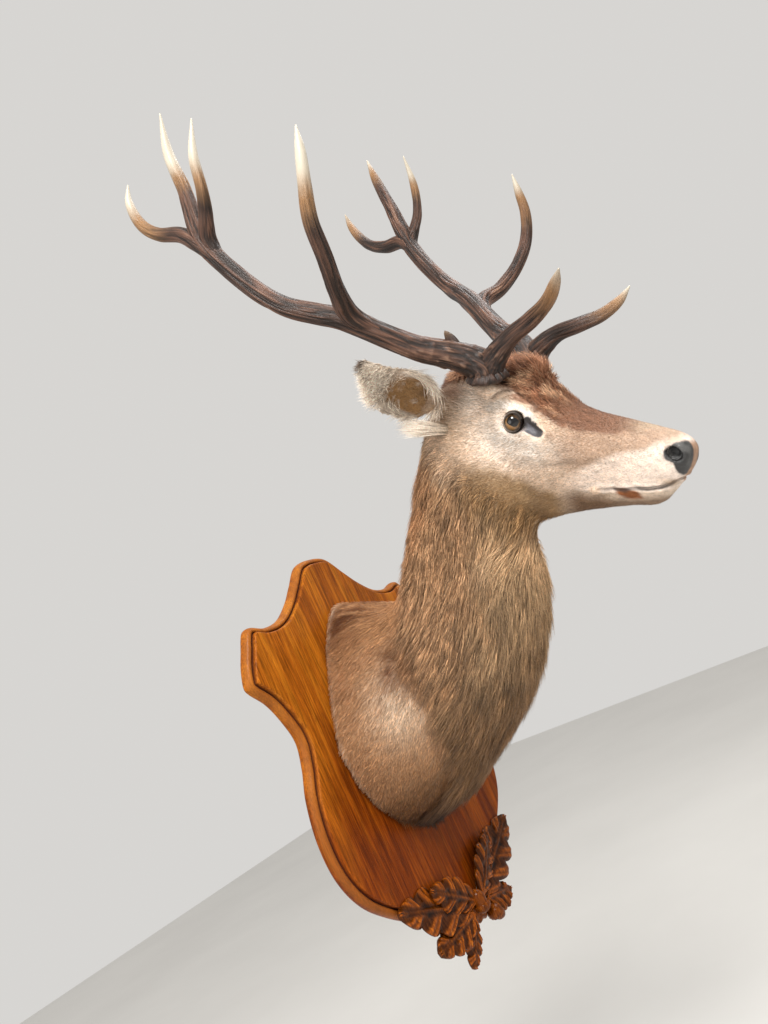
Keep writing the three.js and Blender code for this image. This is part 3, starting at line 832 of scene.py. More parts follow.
def face_colour(place, wide, fine, tufty):
    """The markings of the head, from the soft ones to the sharp ones, and its painted shade."""
    half = place.half
    x, y, z = half.T
    above_mouth = z - table(y, MOUTH_HEIGHT) + 2 * fine
    above_gland = z - table(y, GLAND_HEIGHT) + fine
    # Painted shade under the jaw.
    shade_under_jaw = ramp(z + 8 * wide + 5 * fine + 3 * tufty - 0.22 * y, -78, -104) * ramp(y, -175, -130)
    muzzle = ramp(z - table(y, MUZZLE_EDGE) + 7 * wide + 3 * fine, 9, -9) * ramp(y, -60, -120)
    behind = np.maximum(blob(half, *BEHIND_EYE), blob(half, *BELOW_EAR))
    pale = np.clip(0.95 * blob(half, *UNDER_EYE) + 0.9 * behind, 0, 1)
    band = ramp(place.above_band + 4 * wide + 4 * fine + 3.5 * tufty, -4, 8) * ramp(y, -248, -205)
    band_colour = mix(RED_BROWN, BRIDGE_TAN, ramp(y + 16 * wide, -135, -205))
    brow = 0.85 * ramp(place.line("brow")[0] + 2.4 * fine + 1.6 * tufty, 11.0, 4.0)
    lobe = blob(half, *BROW_LOBE) + 0.12 * tufty + 0.1 * fine
    messy = noise(place.head * (1.0, 0.45, 1.0), 7.0, 14)
    below_mouth = ramp(above_mouth, 0, -9) * ramp(y, -70, -110)
    lip = blob(half, *LIP) + 0.14 * fine + 0.12 * tufty
    dark_lip = blob(half, *DARK_LIP) + 0.3 * tufty
    knob = np.linalg.norm(half - LIP_BUMP, axis=1)
    mouth, along = place.line("mouth")
    mouth = np.exp(-((mouth / 3.3) ** 4)) * ramp(along, 1.0, 0.9)
    mouth *= mix(0.35, 1.0, ramp(along, 0.6, 0.5) - 0.5 * ramp(along, 0.2, 0.1))
    gland, along = gland_gap(place)
    gland = gland + 0.7 * fine
    gland_dark = np.maximum(ramp(above_gland, 0, 4), 0.6 * ramp(along, 0.7, 1.0))
    ahead, high, q = eye_plane(half)
    open_eye = ramp(ahead, 0, 6)
    lid = mix(LID_GREY, LID_DARK, ramp(high, -3, 3))
    pad = mix(NOSE_DARK, NOSE_GREY, 0.7 * ramp(noise(place.head, 11.0, 8), -0.3, 0.6))
    # The hollow of each nostril is painted near black: painted shade.
    pad = mix(pad, NOSE_DARK * 0.35, ramp(nostril_oval(half), 1.15, 0.75))
    layers = [
        (SIDE_TAN, ramp(y + 8 * wide, -45, -85) * ramp(z + 6 * wide, -78, -40)),
        (JAW_BROWN, shade_under_jaw),
        (JAW_BROWN, 0.55 * ramp(y + 10 * wide, 60, 110) * ramp(z, 30, 0)),
        (PALE_PINK, 0.92 * muzzle),
        (CREAM, np.clip(0.8 * pale + 0.35 * tufty * pale, 0, 1)),
        (SIDE_TAN, 0.6 * blob(half, *ABOVE_NOSTRIL)),
        (band_colour, band * mix(1.0, 0.86, ramp(y, -90, -190))),
        (CREAM * 0.88, brow * (1 - 0.7 * ramp(place.above_band, -2, 6))),
        (RED_BROWN * 1.3, 0.8 * ramp(lobe, 0.25, 0.65)),
        *patches(half, CHEEK_PATCHES),
        (SIDE_TAN, 0.5 * blob(half, *TEMPLE) * ramp(fine + tufty, -0.3, 0.7)),
        *patches(half, EAR_PATCHES),
        (RED_BROWN * 1.35, place.crown),
        (CROWN_DARK, 0.8 * place.crown * ramp(messy + 0.5 * tufty, 0.1, 0.6)),
        (CROWN_LIGHT, 0.75 * place.crown * ramp(-messy + 0.5 * fine, 0.1, 0.6)),
        (CHIN, 0.75 * below_mouth),
        # Painted shade under the chin and under the rear of the lip.
        (SHADOW_BROWN, 0.75 * below_mouth * ramp(above_mouth, -9, -24)),
        (SHADOW_BROWN, 0.5 * below_mouth * ramp(y, -165, -140)),
        (LIP_RED, ramp(lip, 0.28, 0.6)),
        (UMBER * 0.4, 0.85 * ramp(dark_lip, 0.3, 0.8)),
        (CHEEK, ramp(knob, 11, 5)),
        # Painted shade above the front of the mouth.
        (JAW_BROWN, 0.75 * blob(half, *SHADE_UNDER_NOSE)),
        (MOUTH_DARK, mouth),
        (GLAND_GREY, ramp(gland, 8.4, 6.4)),
        (LID_DARK, ramp(gland, 7.5, 6.0) * gland_dark),
        # Painted shade in the crease of the brow wrinkle.
        (RED_BROWN * 0.4, 0.95 * bell(place.line("wrinkle")[0], 2.2)),
        (lid, 0.9 * ramp(q + 0.05 * fine, 1.24, 1.14) * open_eye),
        (LID_DARK, ramp(q, 1.1, 1.03) * mix(0.5, 1.0, ramp(high, -4, 2)) * open_eye),
        (NOSE_TIP, 0.9 * ramp(y - 0.2 * z + 0.5 * x + 2 * fine, -236, -246) * ramp(z, 12, 4)),
        (pad, nose_pad(place)),
    ]
    return layered(CHEEK, layers)


def body_colour(place, angle, wide, fine):
    """The markings of neck and shoulders, and their painted shade."""
    world = place.half_world
    x, y, z = world.T
    streaky = noise(place.world * (1.0, 0.45, 0.4), 9.0, 16) + 0.5 * noise(place.world, 4.0, 19)
    turn = np.abs(angle)
    # Darker low on the neck's sides and front: partly the coat's own tone, partly painted shade.
    shaded = ramp(z + 0.25 * x + 10 * wide, 190, -40) * ramp(turn, 0.7, 1.5)
    neck_layers = [
        (NECK_BROWN, ramp(turn + 0.3 * wide, 0.3, 1.3)),
        (SHOULDER_PALE, 0.8 * blob(world, (60, -420, 204), (44, 34, 16))),
        (THROAT_TAN, 0.85 * ramp(turn + 0.25 * wide, 1.6, 2.5)),
        (UMBER, 0.7 * blob(world, (128, -214, 122), (26, 30, 60))),
        (SHADOW_BROWN, 0.72 * shaded),
    ]
    neck = layered(NAPE_BROWN, neck_layers) * (1 + 0.3 * streaky + 0.12 * fine)[:, None]
    dark = 0.8 * blob(world, (140, -190, 122), (30, 34, 62))
    dark = np.maximum(blob(world, (60, -80, 232), (80, 90, 32)), dark)
    shoulder_layers = [
        (SHOULDER_PALE, blob(world, (150, -170, 45), (80, 52, 60))),
        (NAPE_BROWN, 0.5 * ramp(wide + 0.5 * fine, 0.0, 0.8)),
        (UMBER, np.clip(dark * (0.95 + 1.1 * streaky), 0, 1)),
        # Painted shade on the lower part of the shoulders.
        (SHADOW_BROWN, 0.35 * ramp(z + 8 * wide, -20, -100)),
        (SHADOW_BROWN, 0.7 * ramp(z + 0.2 * y + 8 * wide, -92, -140)),
    ]
    body_layers = [
        (layered(SHOULDER_TAN, shoulder_layers), place.shoulder),
        # Painted shadow along the underside of the neck and shoulders.
        (FOOT_SHADOW, 0.95 * ramp(z + 0.16 * y + 6 * fine, -132, -176)),
        (SHOULDER_PALE, 0.7 * ramp(y + 3 * fine, -46, -34) * ramp(z, -120, -60)),
    ]
    return layered(neck, body_layers)


def ear_colour(place, wide, fine):
    """The markings of the ears: tan in the cup, pale round it and on the back, and painted shade deep in
    it.
    """
    inner = ear_inside(place)
    rim = ramp(place.ear_rim + 0.1 * fine, 0.6, 0.85) * ramp(inner, 0.1, 0.6)
    outer_half = 0.75 * inner * ramp(place.ear_along + 0.1 * wide, 0.5, 0.75)
    wisps = noise(place.head * (1.0, 1.0, 0.45), 4.6, 23) + 0.8 * place.ear_along
    layers = [
        (EAR_TAN, inner),
        (EAR_GREY, np.maximum(rim, outer_half)),
        (EAR_GREY, 0.4 * inner * ramp(wisps, 0.5, 1.1)),
        # Painted shade deep in the cup.
        (EAR_DARK, 0.6 * inner * blob(place.half, *EAR_HOLLOW_SHADE)),
        (EAR_DARK, 0.85 * ramp(place.ear_along + 0.05 * wide + 0.03 * fine, 0.89, 0.95)),
        (EAR_GREY, ramp(place.ear_along, 0.11, 0.01) * ramp(place.half[:, 2], 60, 30)),
    ]
    return layered(0.65 * NECK_BROWN + 0.35 * EAR_GREY, layers)


def coat_colour(place, angle):
    """The markings and painted shade, as a colour for each place. Skin and coat both take theirs from here.
    """
    wide = noise(place.head, 34.0, 11)
    fine = noise(place.head, 8.0, 12)
    tufty = noise(place.head * (1.0, 0.5, 1.0), 4.0, 15)
    face = face_colour(place, wide, fine, tufty)
    body = (body_colour(place, angle, wide, fine), place.neck_tone)
    colour = layered(face, [body, (ear_colour(place, wide, fine), place.ear)])
    fleck = noise(place.head * (1.0, 0.4, 1.0), 2.6, 17) + 0.7 * noise(place.head, 1.5, 18)
    fleck += 0.8 * noise(place.head * (1.0, 0.55, 1.0), 4.6, 20)
    return colour * (1 + 0.17 * fleck * (1 - 0.6 * bare(place)))[:, None]


def ear_inside(place):
    """1 in the cup of the ear and 0 on its back."""
    wall = place.ear_wall * np.sqrt(np.clip(1 - 0.96 * place.ear_rim**2, 0, 1))
    return ramp((place.half - EAR_ROOT) @ EAR_FACING + wall, -2.5, 2.5)


def bare(place):
    """Share of skin without hair: nose, mouth, gland, lids and the inside of the eye."""
    ahead, _, q = eye_plane(place.half)
    mouth, along = place.line("mouth")
    shares = [
        nose_pad(place),
        ramp(q, 1.22, 1.14) * ramp(ahead, 0, 6),
        ramp(mouth, 2.8, 1.8) * ramp(along, 0.8, 0.7),
        ramp(gland_gap(place)[0], 8.4, 7.0),
    ]
    return np.max(shares, axis=0)


def unwrap(place, along, angle):
    """The skin laid out flat: the neck and the head by length and turn, and two ears."""
    uv = np.column_stack((0.5 + angle / 6.6, 0.02 + 0.44 * np.clip(along / 1.15, 0, 1)))
    x, y, z = place.head.T
    head_along = np.clip((y + 266) / 460, 0, 1)
    head = np.column_stack((0.5 + np.arctan2(x, z + 40) / 6.6, 0.52 + 0.26 * head_along))
    uv = mix(uv, head, (place.neck < 0.5).astype(float))
    offset = place.half - EAR_ROOT
    turn = np.arctan2(offset @ np.cross(EAR_RUN, EAR_FACING), offset @ EAR_FACING)
    ear_along = np.clip(place.ear_along, 0, 1)
    ear = np.column_stack((0.25 + 0.5 * (place.side > 0) + turn / 14, 0.82 + 0.15 * ear_along))
    return mix(uv, ear, (place.ear > 0.5).astype(float))


def lie_of_coat(place, points, normals, run):
    """The direction that the hair points in, along the skin."""
    _, y, z = place.half.T
    left, back, up = HEAD_AXES.T
    outward = place.side[:, None] * left
    sink = 0.45 * ramp(z, 10, -60) * ramp(y, -150, -20) - 0.5 * ramp(z, 30, 70) * ramp(y, -60, 20)
    flow = back - sink[:, None] * up + 0.15 * outward
    from_eye = (unit(place.half - EYE) * place.mirror) @ HEAD_AXES.T
    flow += 1.3 * bell(place.eye_gap - 17, 14)[:, None] * from_eye
    body = mix(-run, SHOULDER_FLOW + 0.12 * outward, place.shoulder)
    flow = mix(unit(flow), unit(body), ramp(place.neck, 0.0, 0.9))
    flow = mix(flow, place.ear_run(), place.ear)
    sway = noise_vectors(points / MM, 38.0, 40) + 0.6 * noise_vectors(points / MM, 12.0, 50)
    fan = blob(place.half_world, (40, -430, 196), (70, 44, 34))
    flow = mix(flow, unit(place.mirror * (1.0, 0.7, -0.25)), 0.85 * fan * place.neck)
    flow = flow + (0.1 + 0.16 * place.neck + 0.8 * place.crown)[:, None] * sway
    return unit(flow - normals * (flow * normals).sum(axis=1)[:, None])


# ---------------------------------------------------------------- coat

UV_PATCH = 0.003
ROOT_DEPTH = 1.2
SHOULDER_FLOW = unit(np.array((0.0, 0.66, -0.58)))
# Kinds of hair: tufts, spans in each, how far their tips rise, and their locks if they have any: tufts
# in a lock, how strongly they lean together, its length for its width, and how far shades differ.
HAIR = {
    "face": (89000, 1, 1.0, None),
    "neck": (60000, 2, 1.2, (13.0, 0.8, 4.5, 0.24)),
    "shoulder": (39000, 2, 0.8, (30.0, 0.3, 2.0, 0.05)),
    "crown": (8500, 3, 1.7, (8.0, 0.9, 1.0, 0.3)),
    "ears": (10000, 2, 1.0, None),
    "ear_rims": (7000, 3, 1.0, None),
    "ear_feet": (1100, 3, 1.0, None),
}
# How the tufts of one kind differ in length, height of the tip, width, shade and roll.
LENGTH_RANGE = (0.7, 1.25)
HEIGHT_RANGE = (0.35, 1.0)
GIRTH_RANGE = (0.75, 1.25)
SHADE_SPREAD = 0.21
ROLL_SPREAD = 0.3
# Millimetres for a turn of one radian round the neck and for the whole way along it.
NECK_GIRTH = 115.0
NECK_LENGTH = 620.0
# Tufts are darker at the root and paler at the tip: the hair's own dark base and pale tip, and at the root
# also painted shade within the coat.
ROOT_TONE_AND_SHADE = np.array((0.56, 0.45, 0.34))
TIP_TONE = np.array((1.22, 1.16, 1.08))
PIECE_LIMIT = 190000


def hair_length(place, angle):
    """Length of the hair at each place, in millimetres."""
    y = place.head[:, 1]
    length = table(y, [(-262, 1.8), (-235, 3.2), (-170, 5.0), (-60, 7.0), (50, 9.0), (150, 13)])
    bare_gap = np.minimum(gland_gap(place)[0] - 8, place.eye_gap - EYE_RADIUS)
    length *= mix(0.35, 1.0, ramp(bare_gap, 1, 14))
    length *= mix(0.4, 1.0, ramp(place.line("mouth")[0], 2, 14))
    length *= mix(0.5, 1.0, ramp(place.line("wrinkle")[0], 1, 8))
    length = mix(length, table(y, [(-80, 10.0), (-20, 20.0), (60, 29.0)]), place.crown)
    long = mix(38.0, 54.0, ramp(np.abs(angle), 1.2, 2.6))
    length = mix(length, long, ramp(place.neck, 0.05, 1.0) ** 1.25)
    short = 11.0 + 17.0 * blob(place.half_world, (85, -120, 205), (75, 80, 42))
    short += 8.0 * ramp(place.half_world[:, 2], -100, -150)
    length = mix(length, short, place.shoulder)
    return mix(length, 6.5, place.ear)


def hair_width(place):
    """Width of one tuft at each place, in millimetres."""
    width = mix(1.05, 1.2, place.neck)
    for goal, share in ((1.25, place.crown), (0.95, place.shoulder), (0.8, place.ear)):
        width = mix(width, goal, share)
    return width


class Coat:
    """The skin with what the hair needs to know of it, and the pieces of coat that grow on it."""

    def __init__(self, points, faces):
        self.points = points
        self.faces = faces
        self.normals = vertex_normals(points, faces)
        a, b, c = (points[faces[:, k]] for k in range(3))
        self.areas = np.linalg.norm(np.cross(b - a, c - a), axis=1) / 2
        self.middles = Places((a + b + c) / 3)
        self.paint = coat_paint()

    def roots(self, count, crowd):
        """Spreads `count` roots over the skin, thickly where `crowd` is high."""
        total = np.cumsum(self.areas * crowd)
        spots = (np.arange(count) + RNG.random(count)) * total[-1] / count
        chosen = np.searchsorted(total, spots)
        u, v = RNG.random((2, count))
        over = u + v > 1
        u[over], v[over] = 1 - u[over], 1 - v[over]
        shares = np.column_stack((1 - u - v, u, v))[..., None]
        corners = self.faces[chosen]
        normals = (self.normals[corners] * shares).sum(axis=1)
        return (self.points[corners] * shares).sum(axis=1), unit(normals)

    def grow(self, name, crowd, own=None):
        """Adds one kind of hair: mesh tufts of three-sided section that taper to a point.

        A kind with its `own` look gives length, width, flow, colour and tip height by a function."""
        count, spans, rise, lock = HAIR[name]
        roots, normals = self.roots(count, crowd)
        place = Places(roots)
        along, angle, run = neck_frame(roots)
        if own:
            length, width, flow, colour, tip_height = own(place, count)
        else:
            length, width = hair_length(place, angle), hair_width(place)
            flow = lie_of_coat(place, roots, normals, run)
            colour = coat_colour(place, angle)
            tip_height = coat_depth(place)
        length = length * RNG.uniform(*LENGTH_RANGE, count)
        tip_height = tip_height * rise * RNG.uniform(*HEIGHT_RANGE, count)
        side = np.cross(normals, flow)
        sway = RNG.normal(0, 0.08 + 0.22 * place.crown, count) * length
        shade = RNG.normal(1.0, SHADE_SPREAD, count)
        if lock:
            size, pull, stretch, contrast = lock
            flat = np.column_stack((angle * NECK_GIRTH, along * NECK_LENGTH / stretch, 0 * angle))
            lean, choice, locks = self.gather(roots / MM, flat, side, size)
            sway += pull * lean
            length *= RNG.uniform(0.8, 1.2, locks)[choice]
            tip_height *= RNG.uniform(0.55, 1.1, locks)[choice]
            shade += contrast * RNG.normal(0, 1.0, locks)[choice]
        base = colour * np.clip(shade, 0.45, 1.6)[:, None]
        uv = unwrap(place, along, angle)
        roll = RNG.normal(0, ROLL_SPREAD, count)
        across = side * np.cos(roll)[:, None] + normals * np.sin(roll)[:, None]
        above = np.cross(flow, across)
        girth = RNG.uniform(*GIRTH_RANGE, count)
        columns = []
        for t in np.arange(spans + 1) / spans:
            lift = tip_height * (1 - (1 - t) ** 2) - ROOT_DEPTH * (1 - t)
            bend = flow * (length * t)[:, None] + normals * lift[:, None]
            centre = roots + MM * (bend + side * (sway * t**2)[:, None])
            centre[:, 1] = np.minimum(centre[:, 1], BOARD_FACE - 0.4 * MM)
            tint = base * (ROOT_TONE_AND_SHADE + (TIP_TONE - ROOT_TONE_AND_SHADE) * t**0.8)
            if t == 1:
                columns.append((centre, tint, uv + UV_PATCH * np.array((0.0, 0.5))))
                continue
            half = (0.5 * MM * width * girth * (0.8 + 0.6 * t - 1.1 * t**2))[:, None]
            # The ridge of each tuft is painted lighter and its sides darker: painted light and shade across
            # the tuft.
            for out, up, light in ((-1.0, -0.25, 0.93), (1.0, -0.25, 0.93), (0.0, 0.5, 1.08)):
                corner = centre + across * half * out + above * half * up
                columns.append((corner, tint * light, uv + UV_PATCH * np.array((0.5 * out, t - 0.5))))
        self.add_pieces(name, *(np.stack(values, axis=1) for values in zip(*columns)), tuft_faces(spans))

    def gather(self, roots, flat, side, size):
        """Shares roots out among locks: how far each is to the side of its lock, and which lock."""
        count = len(roots)
        centres = RNG.choice(count, max(8, int(count / size)), replace=False)
        choice = nearest_of(flat[centres], flat)
        lean = ((roots[centres][choice] - roots) * side).sum(axis=1)
        return np.clip(lean, -14, 14), choice, len(centres)

    def add_pieces(self, name, points, colours, uvs, pattern):
        """Joins tufts into meshes of a size that is easy to load."""
        count, per_tuft = points.shape[:2]
        pieces = math.ceil(count / (PIECE_LIMIT // len(pattern)))
        for index, chosen in enumerate(np.array_split(np.arange(count), pieces)):
            starts = (np.arange(len(chosen)) * per_tuft)[:, None, None]
            faces = (pattern + starts).reshape(-1, 3)
            piece = mesh_object(f"coat_{name}_{index + 1}", points[chosen].reshape(-1, 3), faces)
            point_colours(piece, "tint", colours[chosen].reshape(-1, 3))
            layer = piece.data.uv_layers.new(name="OFBake", do_init=False)
            corners = uvs[chosen].reshape(-1, 2)[faces.ravel()]
            layer.data.foreach_set("uv", corners.astype(np.float32).ravel())
            piece.data.materials.append(self.paint)
            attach(piece, "root")


def tuft_faces(rings):
    """The triangles of one tuft: rings of three points and a tip."""
    last_ring = 3 * (rings - 1) + np.arange(3)
    return np.vstack((ring_faces(rings, 3), fan_faces(last_ring, 3 * rings)))


def coat_paint():
    paint = Paint("coat", Roughness=0.58, Specular_IOR_Level=0.16, Sheen_Weight=0.06, Sheen_Roughness=0.5)
    streak = paint.noise(paint.place((1, 1, 0.35)), 420.0, 3.0)
    tone = paint.steps(streak, (0.3, 0.74), (0.7, 1.24))
    paint.use(Base_Color=paint.times(paint.attribute("tint"), tone))
    return paint.material


def skin_paint():
    paint = Paint("skin")
    where = paint.place()
    hairs = paint.noise(where, 900.0, 3.0)
    pebbles = paint.add("TexVoronoi", {"Vector": where, "Scale": 620.0}).outputs["Distance"]
    pad = paint.attribute("bare", "Fac")
    tone = paint.steps(hairs, (0.3, 0.8), (0.7, 1.15))
    paint.use(Base_Color=paint.times(paint.attribute("tint"), tone))
    paint.use(Roughness=paint.steps(pad, (0.0, 0.66), (1.0, 0.34)))
    paint.bump(paint.blend(pad, hairs, pebbles), 0.0006, 0.8)
    return paint.material


def ear_rim_hair(place, count):
    """Long pale hair that leaves the rim of the ear and curls round its cup."""
    offset = place.half - EAR_ROOT
    long = offset @ EAR_RUN - EAR_CUP[0]
    high = offset @ EAR_ABOVE - EAR_CUP[1]
    round_cup = high[:, None] * EAR_RUN - long[:, None] * EAR_ABOVE
    at_tip = ramp(long, 10, 60)
    tangent = mix(unit(-round_cup), unit(EAR_RUN * 0.8 - EAR_ABOVE * 0.5), at_tip)
    inward = unit(-(long[:, None] * EAR_RUN + high[:, None] * EAR_ABOVE))
    curl = unit(tangent + 0.2 * inward * (1 - at_tip)[:, None] + 0.45 * EAR_FACING)
    curl = unit(curl + 0.22 * RNG.normal(0, 1, (count, 3))) * place.mirror
    length = 13.0 + 17.0 * ramp(place.ear_along, 0.95, 0.5)
    shade = RNG.uniform(0.85, 1.2, (count, 1))
    tint = mix(EAR_GREY, EAR_DARK, 0.85 * ramp(place.ear_along, 0.86, 0.92)) * shade
    return length, 0.85, curl @ HEAD_AXES.T, tint, 4.0


def ear_base_hair(place, count):
    """The white tuft below the foot of the ear, which points out and back."""
    flow = (place.mirror * (1.0, 0.7, 0.03)) @ HEAD_AXES.T
    flow = unit(flow + 0.09 * RNG.normal(0, 1, (count, 3)))
    return 62.0, 1.3, flow, EAR_GREY, 9.0


def grow_coat(points, faces):
    coat = Coat(points, faces)
    place = coat.middles
    board = BOARD_FACE / MM
    haired = (1 - bare(place)) * ramp(place.world[:, 1], board + 0.5, board - 1.5)
    haired *= ramp(place.eye_gap, EYE_RADIUS - 1, EYE_RADIUS)
    face = (1 - ramp(place.neck, 0.12, 0.5)) * (1 - place.ear) * (1 - 0.8 * place.crown)
    coat.grow("face", haired * face * (1 + ramp(place.head[:, 1], 20, -120)))
    long = ramp(place.neck, 0.03, 0.4) * (1 - place.shoulder) * (1 - place.ear)
    coat.grow("neck", haired * long)
    coat.grow("shoulder", haired * place.shoulder)
    coat.grow("crown", haired * place.crown)
    coat.grow("ears", haired * place.ear)
    ends = ramp(place.ear_along, 0.46, 0.66) + ramp(place.ear_along, 0.04, -0.04)
    rim = ear_inside(place) * np.clip(ramp(place.ear_rim, 0.66, 0.9) + ends, 0, 1)
    rim *= ramp(place.ear_along, 0.97, 0.9) * ramp(place.ear_along, -0.06, 0.02)
    rim *= place.ear_near * ramp(place.out, 64, 74)
    coat.grow("ear_rims", haired * rim, ear_rim_hair)
    foot = blob(place.half, EAR_FOOT, (16, 18, 12))
    coat.grow("ear_feet", haired * foot * (foot > 0.2), ear_base_hair)


# ---------------------------------------------------------------- eyes

IRIS_RADIUS = 13.2
GLASS_RADIUS = EYE_RADIUS - 0.3
CORNEA_RISE = 1.1
EYE_RINGS, EYE_TURNS = 34, 48


def build_eye(name, side, paint):
    """A glass eyeball with a slightly raised cornea. Its iris follows how far a point is off its aim."""
    rings, turns = EYE_RINGS, EYE_TURNS
    swing = np.linspace(0.0, math.pi, rings + 2)
    turn = np.arange(turns) * math.tau / turns
    reach = GLASS_RADIUS + CORNEA_RISE * np.exp(-((swing / 0.6) ** 4))
    off, ahead = reach[1:-1] * np.sin(swing[1:-1]), reach[1:-1] * np.cos(swing[1:-1])
    back, up = off[:, None] * np.cos(turn), off[:, None] * np.sin(turn)
    local = np.stack((back.ravel(), up.ravel(), np.repeat(ahead, turns)), axis=-1)
    local = np.vstack((local, (0, 0, reach[0]), (0, 0, -reach[-1])))
    points = (local @ (EYE_BACK, EYE_UP, EYE_AIM) + EYE) * (side, 1, 1)
    ring = np.arange(turns)
    last_ring = ring + (rings - 1) * turns
    caps = (fan_faces(ring, rings * turns), fan_faces(last_ring, rings * turns + 1)[:, ::-1])
    faces = np.vstack((ring_faces(rings, turns)[:, ::-1], *caps))
    eye = mesh_object(name, from_head(points), faces[:, ::side])
    point_colours(eye, "iris", 0.5 + 0.25 * local / IRIS_RADIUS)
    eye.data.materials.append(paint)
    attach(eye, "root")
    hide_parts("eye_left" if side > 0 else "eye_right")


def eye_paint():
    glass = {"Coat_Weight": 1.0, "Coat_Roughness": 0.11, "Specular_IOR_Level": 0.1}
    paint = Paint("glass_eye", Roughness=0.12, **glass)
    parts = paint.add("SeparateColor", {"Color": paint.attribute("iris")})
    long, high = (paint.maths("MULTIPLY_ADD", parts.outputs[k], 4.0, -2.0) for k in range(2))
    squares = [paint.maths("MULTIPLY", v, v) for v in (long, high)]
    radius = paint.maths("SQRT", paint.maths("ADD", *squares))
    raised = paint.maths("SUBTRACT", high, 0.1)
    scaled = [paint.maths("DIVIDE", long, 0.74), paint.maths("DIVIDE", raised, 0.54)]
    bar = paint.maths("ADD", *(paint.maths("POWER", paint.maths("ABSOLUTE", v), 3.0) for v in scaled))
    turn = paint.maths("ARCTAN2", high, long)
    spoke = paint.add("CombineXYZ", {"X": paint.maths("MULTIPLY", turn, 9.0), "Y": radius})
    rays = paint.noise(spoke.outputs[0], 1.6, 3.0)
    amber = paint.steps(rays, (0.3, linear(118, 82, 48)), (0.7, linear(184, 140, 90)))
    # The iris is painted darker towards its top: painted shade of the upper lid and brow.
    shade = paint.steps(paint.maths("MULTIPLY_ADD", high, 0.5, 0.5), (0.25, 1.0), (0.72, 0.2))
    rim = paint.steps(radius, (0.55, 1.0), (0.8, 0.72), (0.96, 0.12))
    iris = paint.times(paint.times(amber, shade), rim)
    white = paint.steps(radius, (0.94, 0.0), (1.0, 1.0))
    outer = paint.blend(white, iris, linear(24, 16, 12))
    pupil = paint.steps(bar, (0.75, 1.0), (1.0, 0.0))
    paint.use(Base_Color=paint.blend(pupil, outer, linear(6, 5, 6)))
    return paint.material


# ---------------------------------------------------------------- antlers

BURR_RADIUS = 32.0
BURR_AROUND = 150
BURR_LEAN = (0.25, 0.15, 0.95)
# The section of the coronet: height in millimetres and share of its radius.
BURR_PROFILE = [(-1, 0.6), (1, 0.92), (5, 1.04), (9, 1.0), (14, 0.84), (19, 0.5)]
RING_STEP = 3.6
# No branch runs along this direction, so the turn round each branch can start from it.
TUBE_START = (0.31, 0.22, 0.93)
# Points round a branch, and how far its pearls reach in millimetres.
BRANCH_DETAIL = {"beam": (96, 200.0), "brow": (72, 80.0), "stub": (40, 20.0)}
# Each row is a place in the head's own axes and the radius there, in millimetres.
ANTLER_RIGHT = {
    "beam": [
        (-66, 57, 58, 28), (-70, 66, 78, 27), (-86, 97, 91, 23.5), (-125, 156, 101, 20),
        (-184, 257, 137, 18.5), (-233, 354, 154, 16), (-261, 463, 212, 15.5), (-268, 507, 248, 16),
        (-267, 552, 324, 12), (-270, 587, 380, 9), (-269, 608, 441, 1.2),
    ],
    "brow": [
        (-67, 60, 66, 26), (-70, 46, 98, 19.5), (-73, 21, 131, 14.5), (-74, -13, 161, 13),
        (-87, -43, 190, 11), (-107, -62, 217, 8), (-122, -73, 236, 1.2),
    ],
    "trez": [
        (-152, 200, 117, 12), (-192, 240, 146, 16), (-238, 232, 186, 14), (-276, 223, 232, 12.5),
        (-305, 225, 280, 11.5), (-309, 235, 328, 10), (-304, 251, 376, 7.5), (-299, 265, 407, 1.2),
    ],
    "back": [
        (-257, 440, 200, 11), (-268, 498, 234, 15), (-274, 551, 252, 13), (-282, 601, 251, 11.5),
        (-288, 642, 265, 10), (-291, 670, 299, 7), (-285, 681, 329, 1.2),
    ],
    "crown": [
        (-262, 468, 216, 11), (-269, 490, 250, 14), (-278, 484, 286, 11.5), (-287, 481, 320, 10),
        (-290, 498, 371, 8), (-276, 519, 429, 1.2),
    ],
    "stub": [(-92, 104, 88, 19), (-92, 110, 104, 14), (-94, 117, 118, 9), (-98, 124, 128, 3.5)],
}
ANTLER_LEFT = {
    "beam": [
        (66, 57, 58, 28), (70, 67, 80, 27), (86, 100, 103, 23.5), (125, 160, 117, 20),
        (181, 258, 158, 18.5), (232, 357, 186, 16), (260, 464, 246, 15.5), (265, 502, 286, 16),
        (266, 550, 347, 12), (270, 586, 388, 9), (270, 611, 424, 1.2),
    ],
    "brow": [
        (67, 60, 66, 26), (70, 46, 98, 19.5), (73, 21, 126, 14.5), (76, -15, 146, 13),
        (88, -48, 164, 11), (107, -68, 188, 8), (122, -76, 212, 1.2),
    ],
    "trez": [
        (152, 206, 136, 12), (192, 240, 162, 16), (238, 231, 186, 14), (276, 223, 229, 12.5),
        (305, 225, 278, 11.5), (309, 235, 328, 10), (304, 252, 366, 7.5), (299, 267, 397, 1.2),
    ],
    "back": [
        (256, 436, 226, 11), (265, 496, 262, 15), (274, 551, 250, 13), (282, 601, 252, 11.5),
        (288, 642, 270, 10), (291, 670, 292, 7), (285, 681, 314, 1.2),
    ],
    "crown": [
        (261, 458, 238, 11), (268, 478, 264, 14), (280, 480, 294, 11.5), (287, 481, 322, 10),
        (290, 497, 377, 8), (276, 518, 432, 1.2),
    ],
}
# How much of each tip is rubbed to ivory, and how long the golden part below it is, in millimetres.
IVORY_RIGHT = {"beam": (90, 70), "crown": (78, 60), "back": (42, 120), "trez": (84, 70), "brow": (10, 100)}
IVORY_RIGHT["stub"] = (-22, 34)
IVORY_LEFT = {"beam": (14, 60), "crown": (46, 60), "back": (12, 90), "trez": (30, 90), "brow": (20, 60)}
NO_IVORY = (-30, 10)


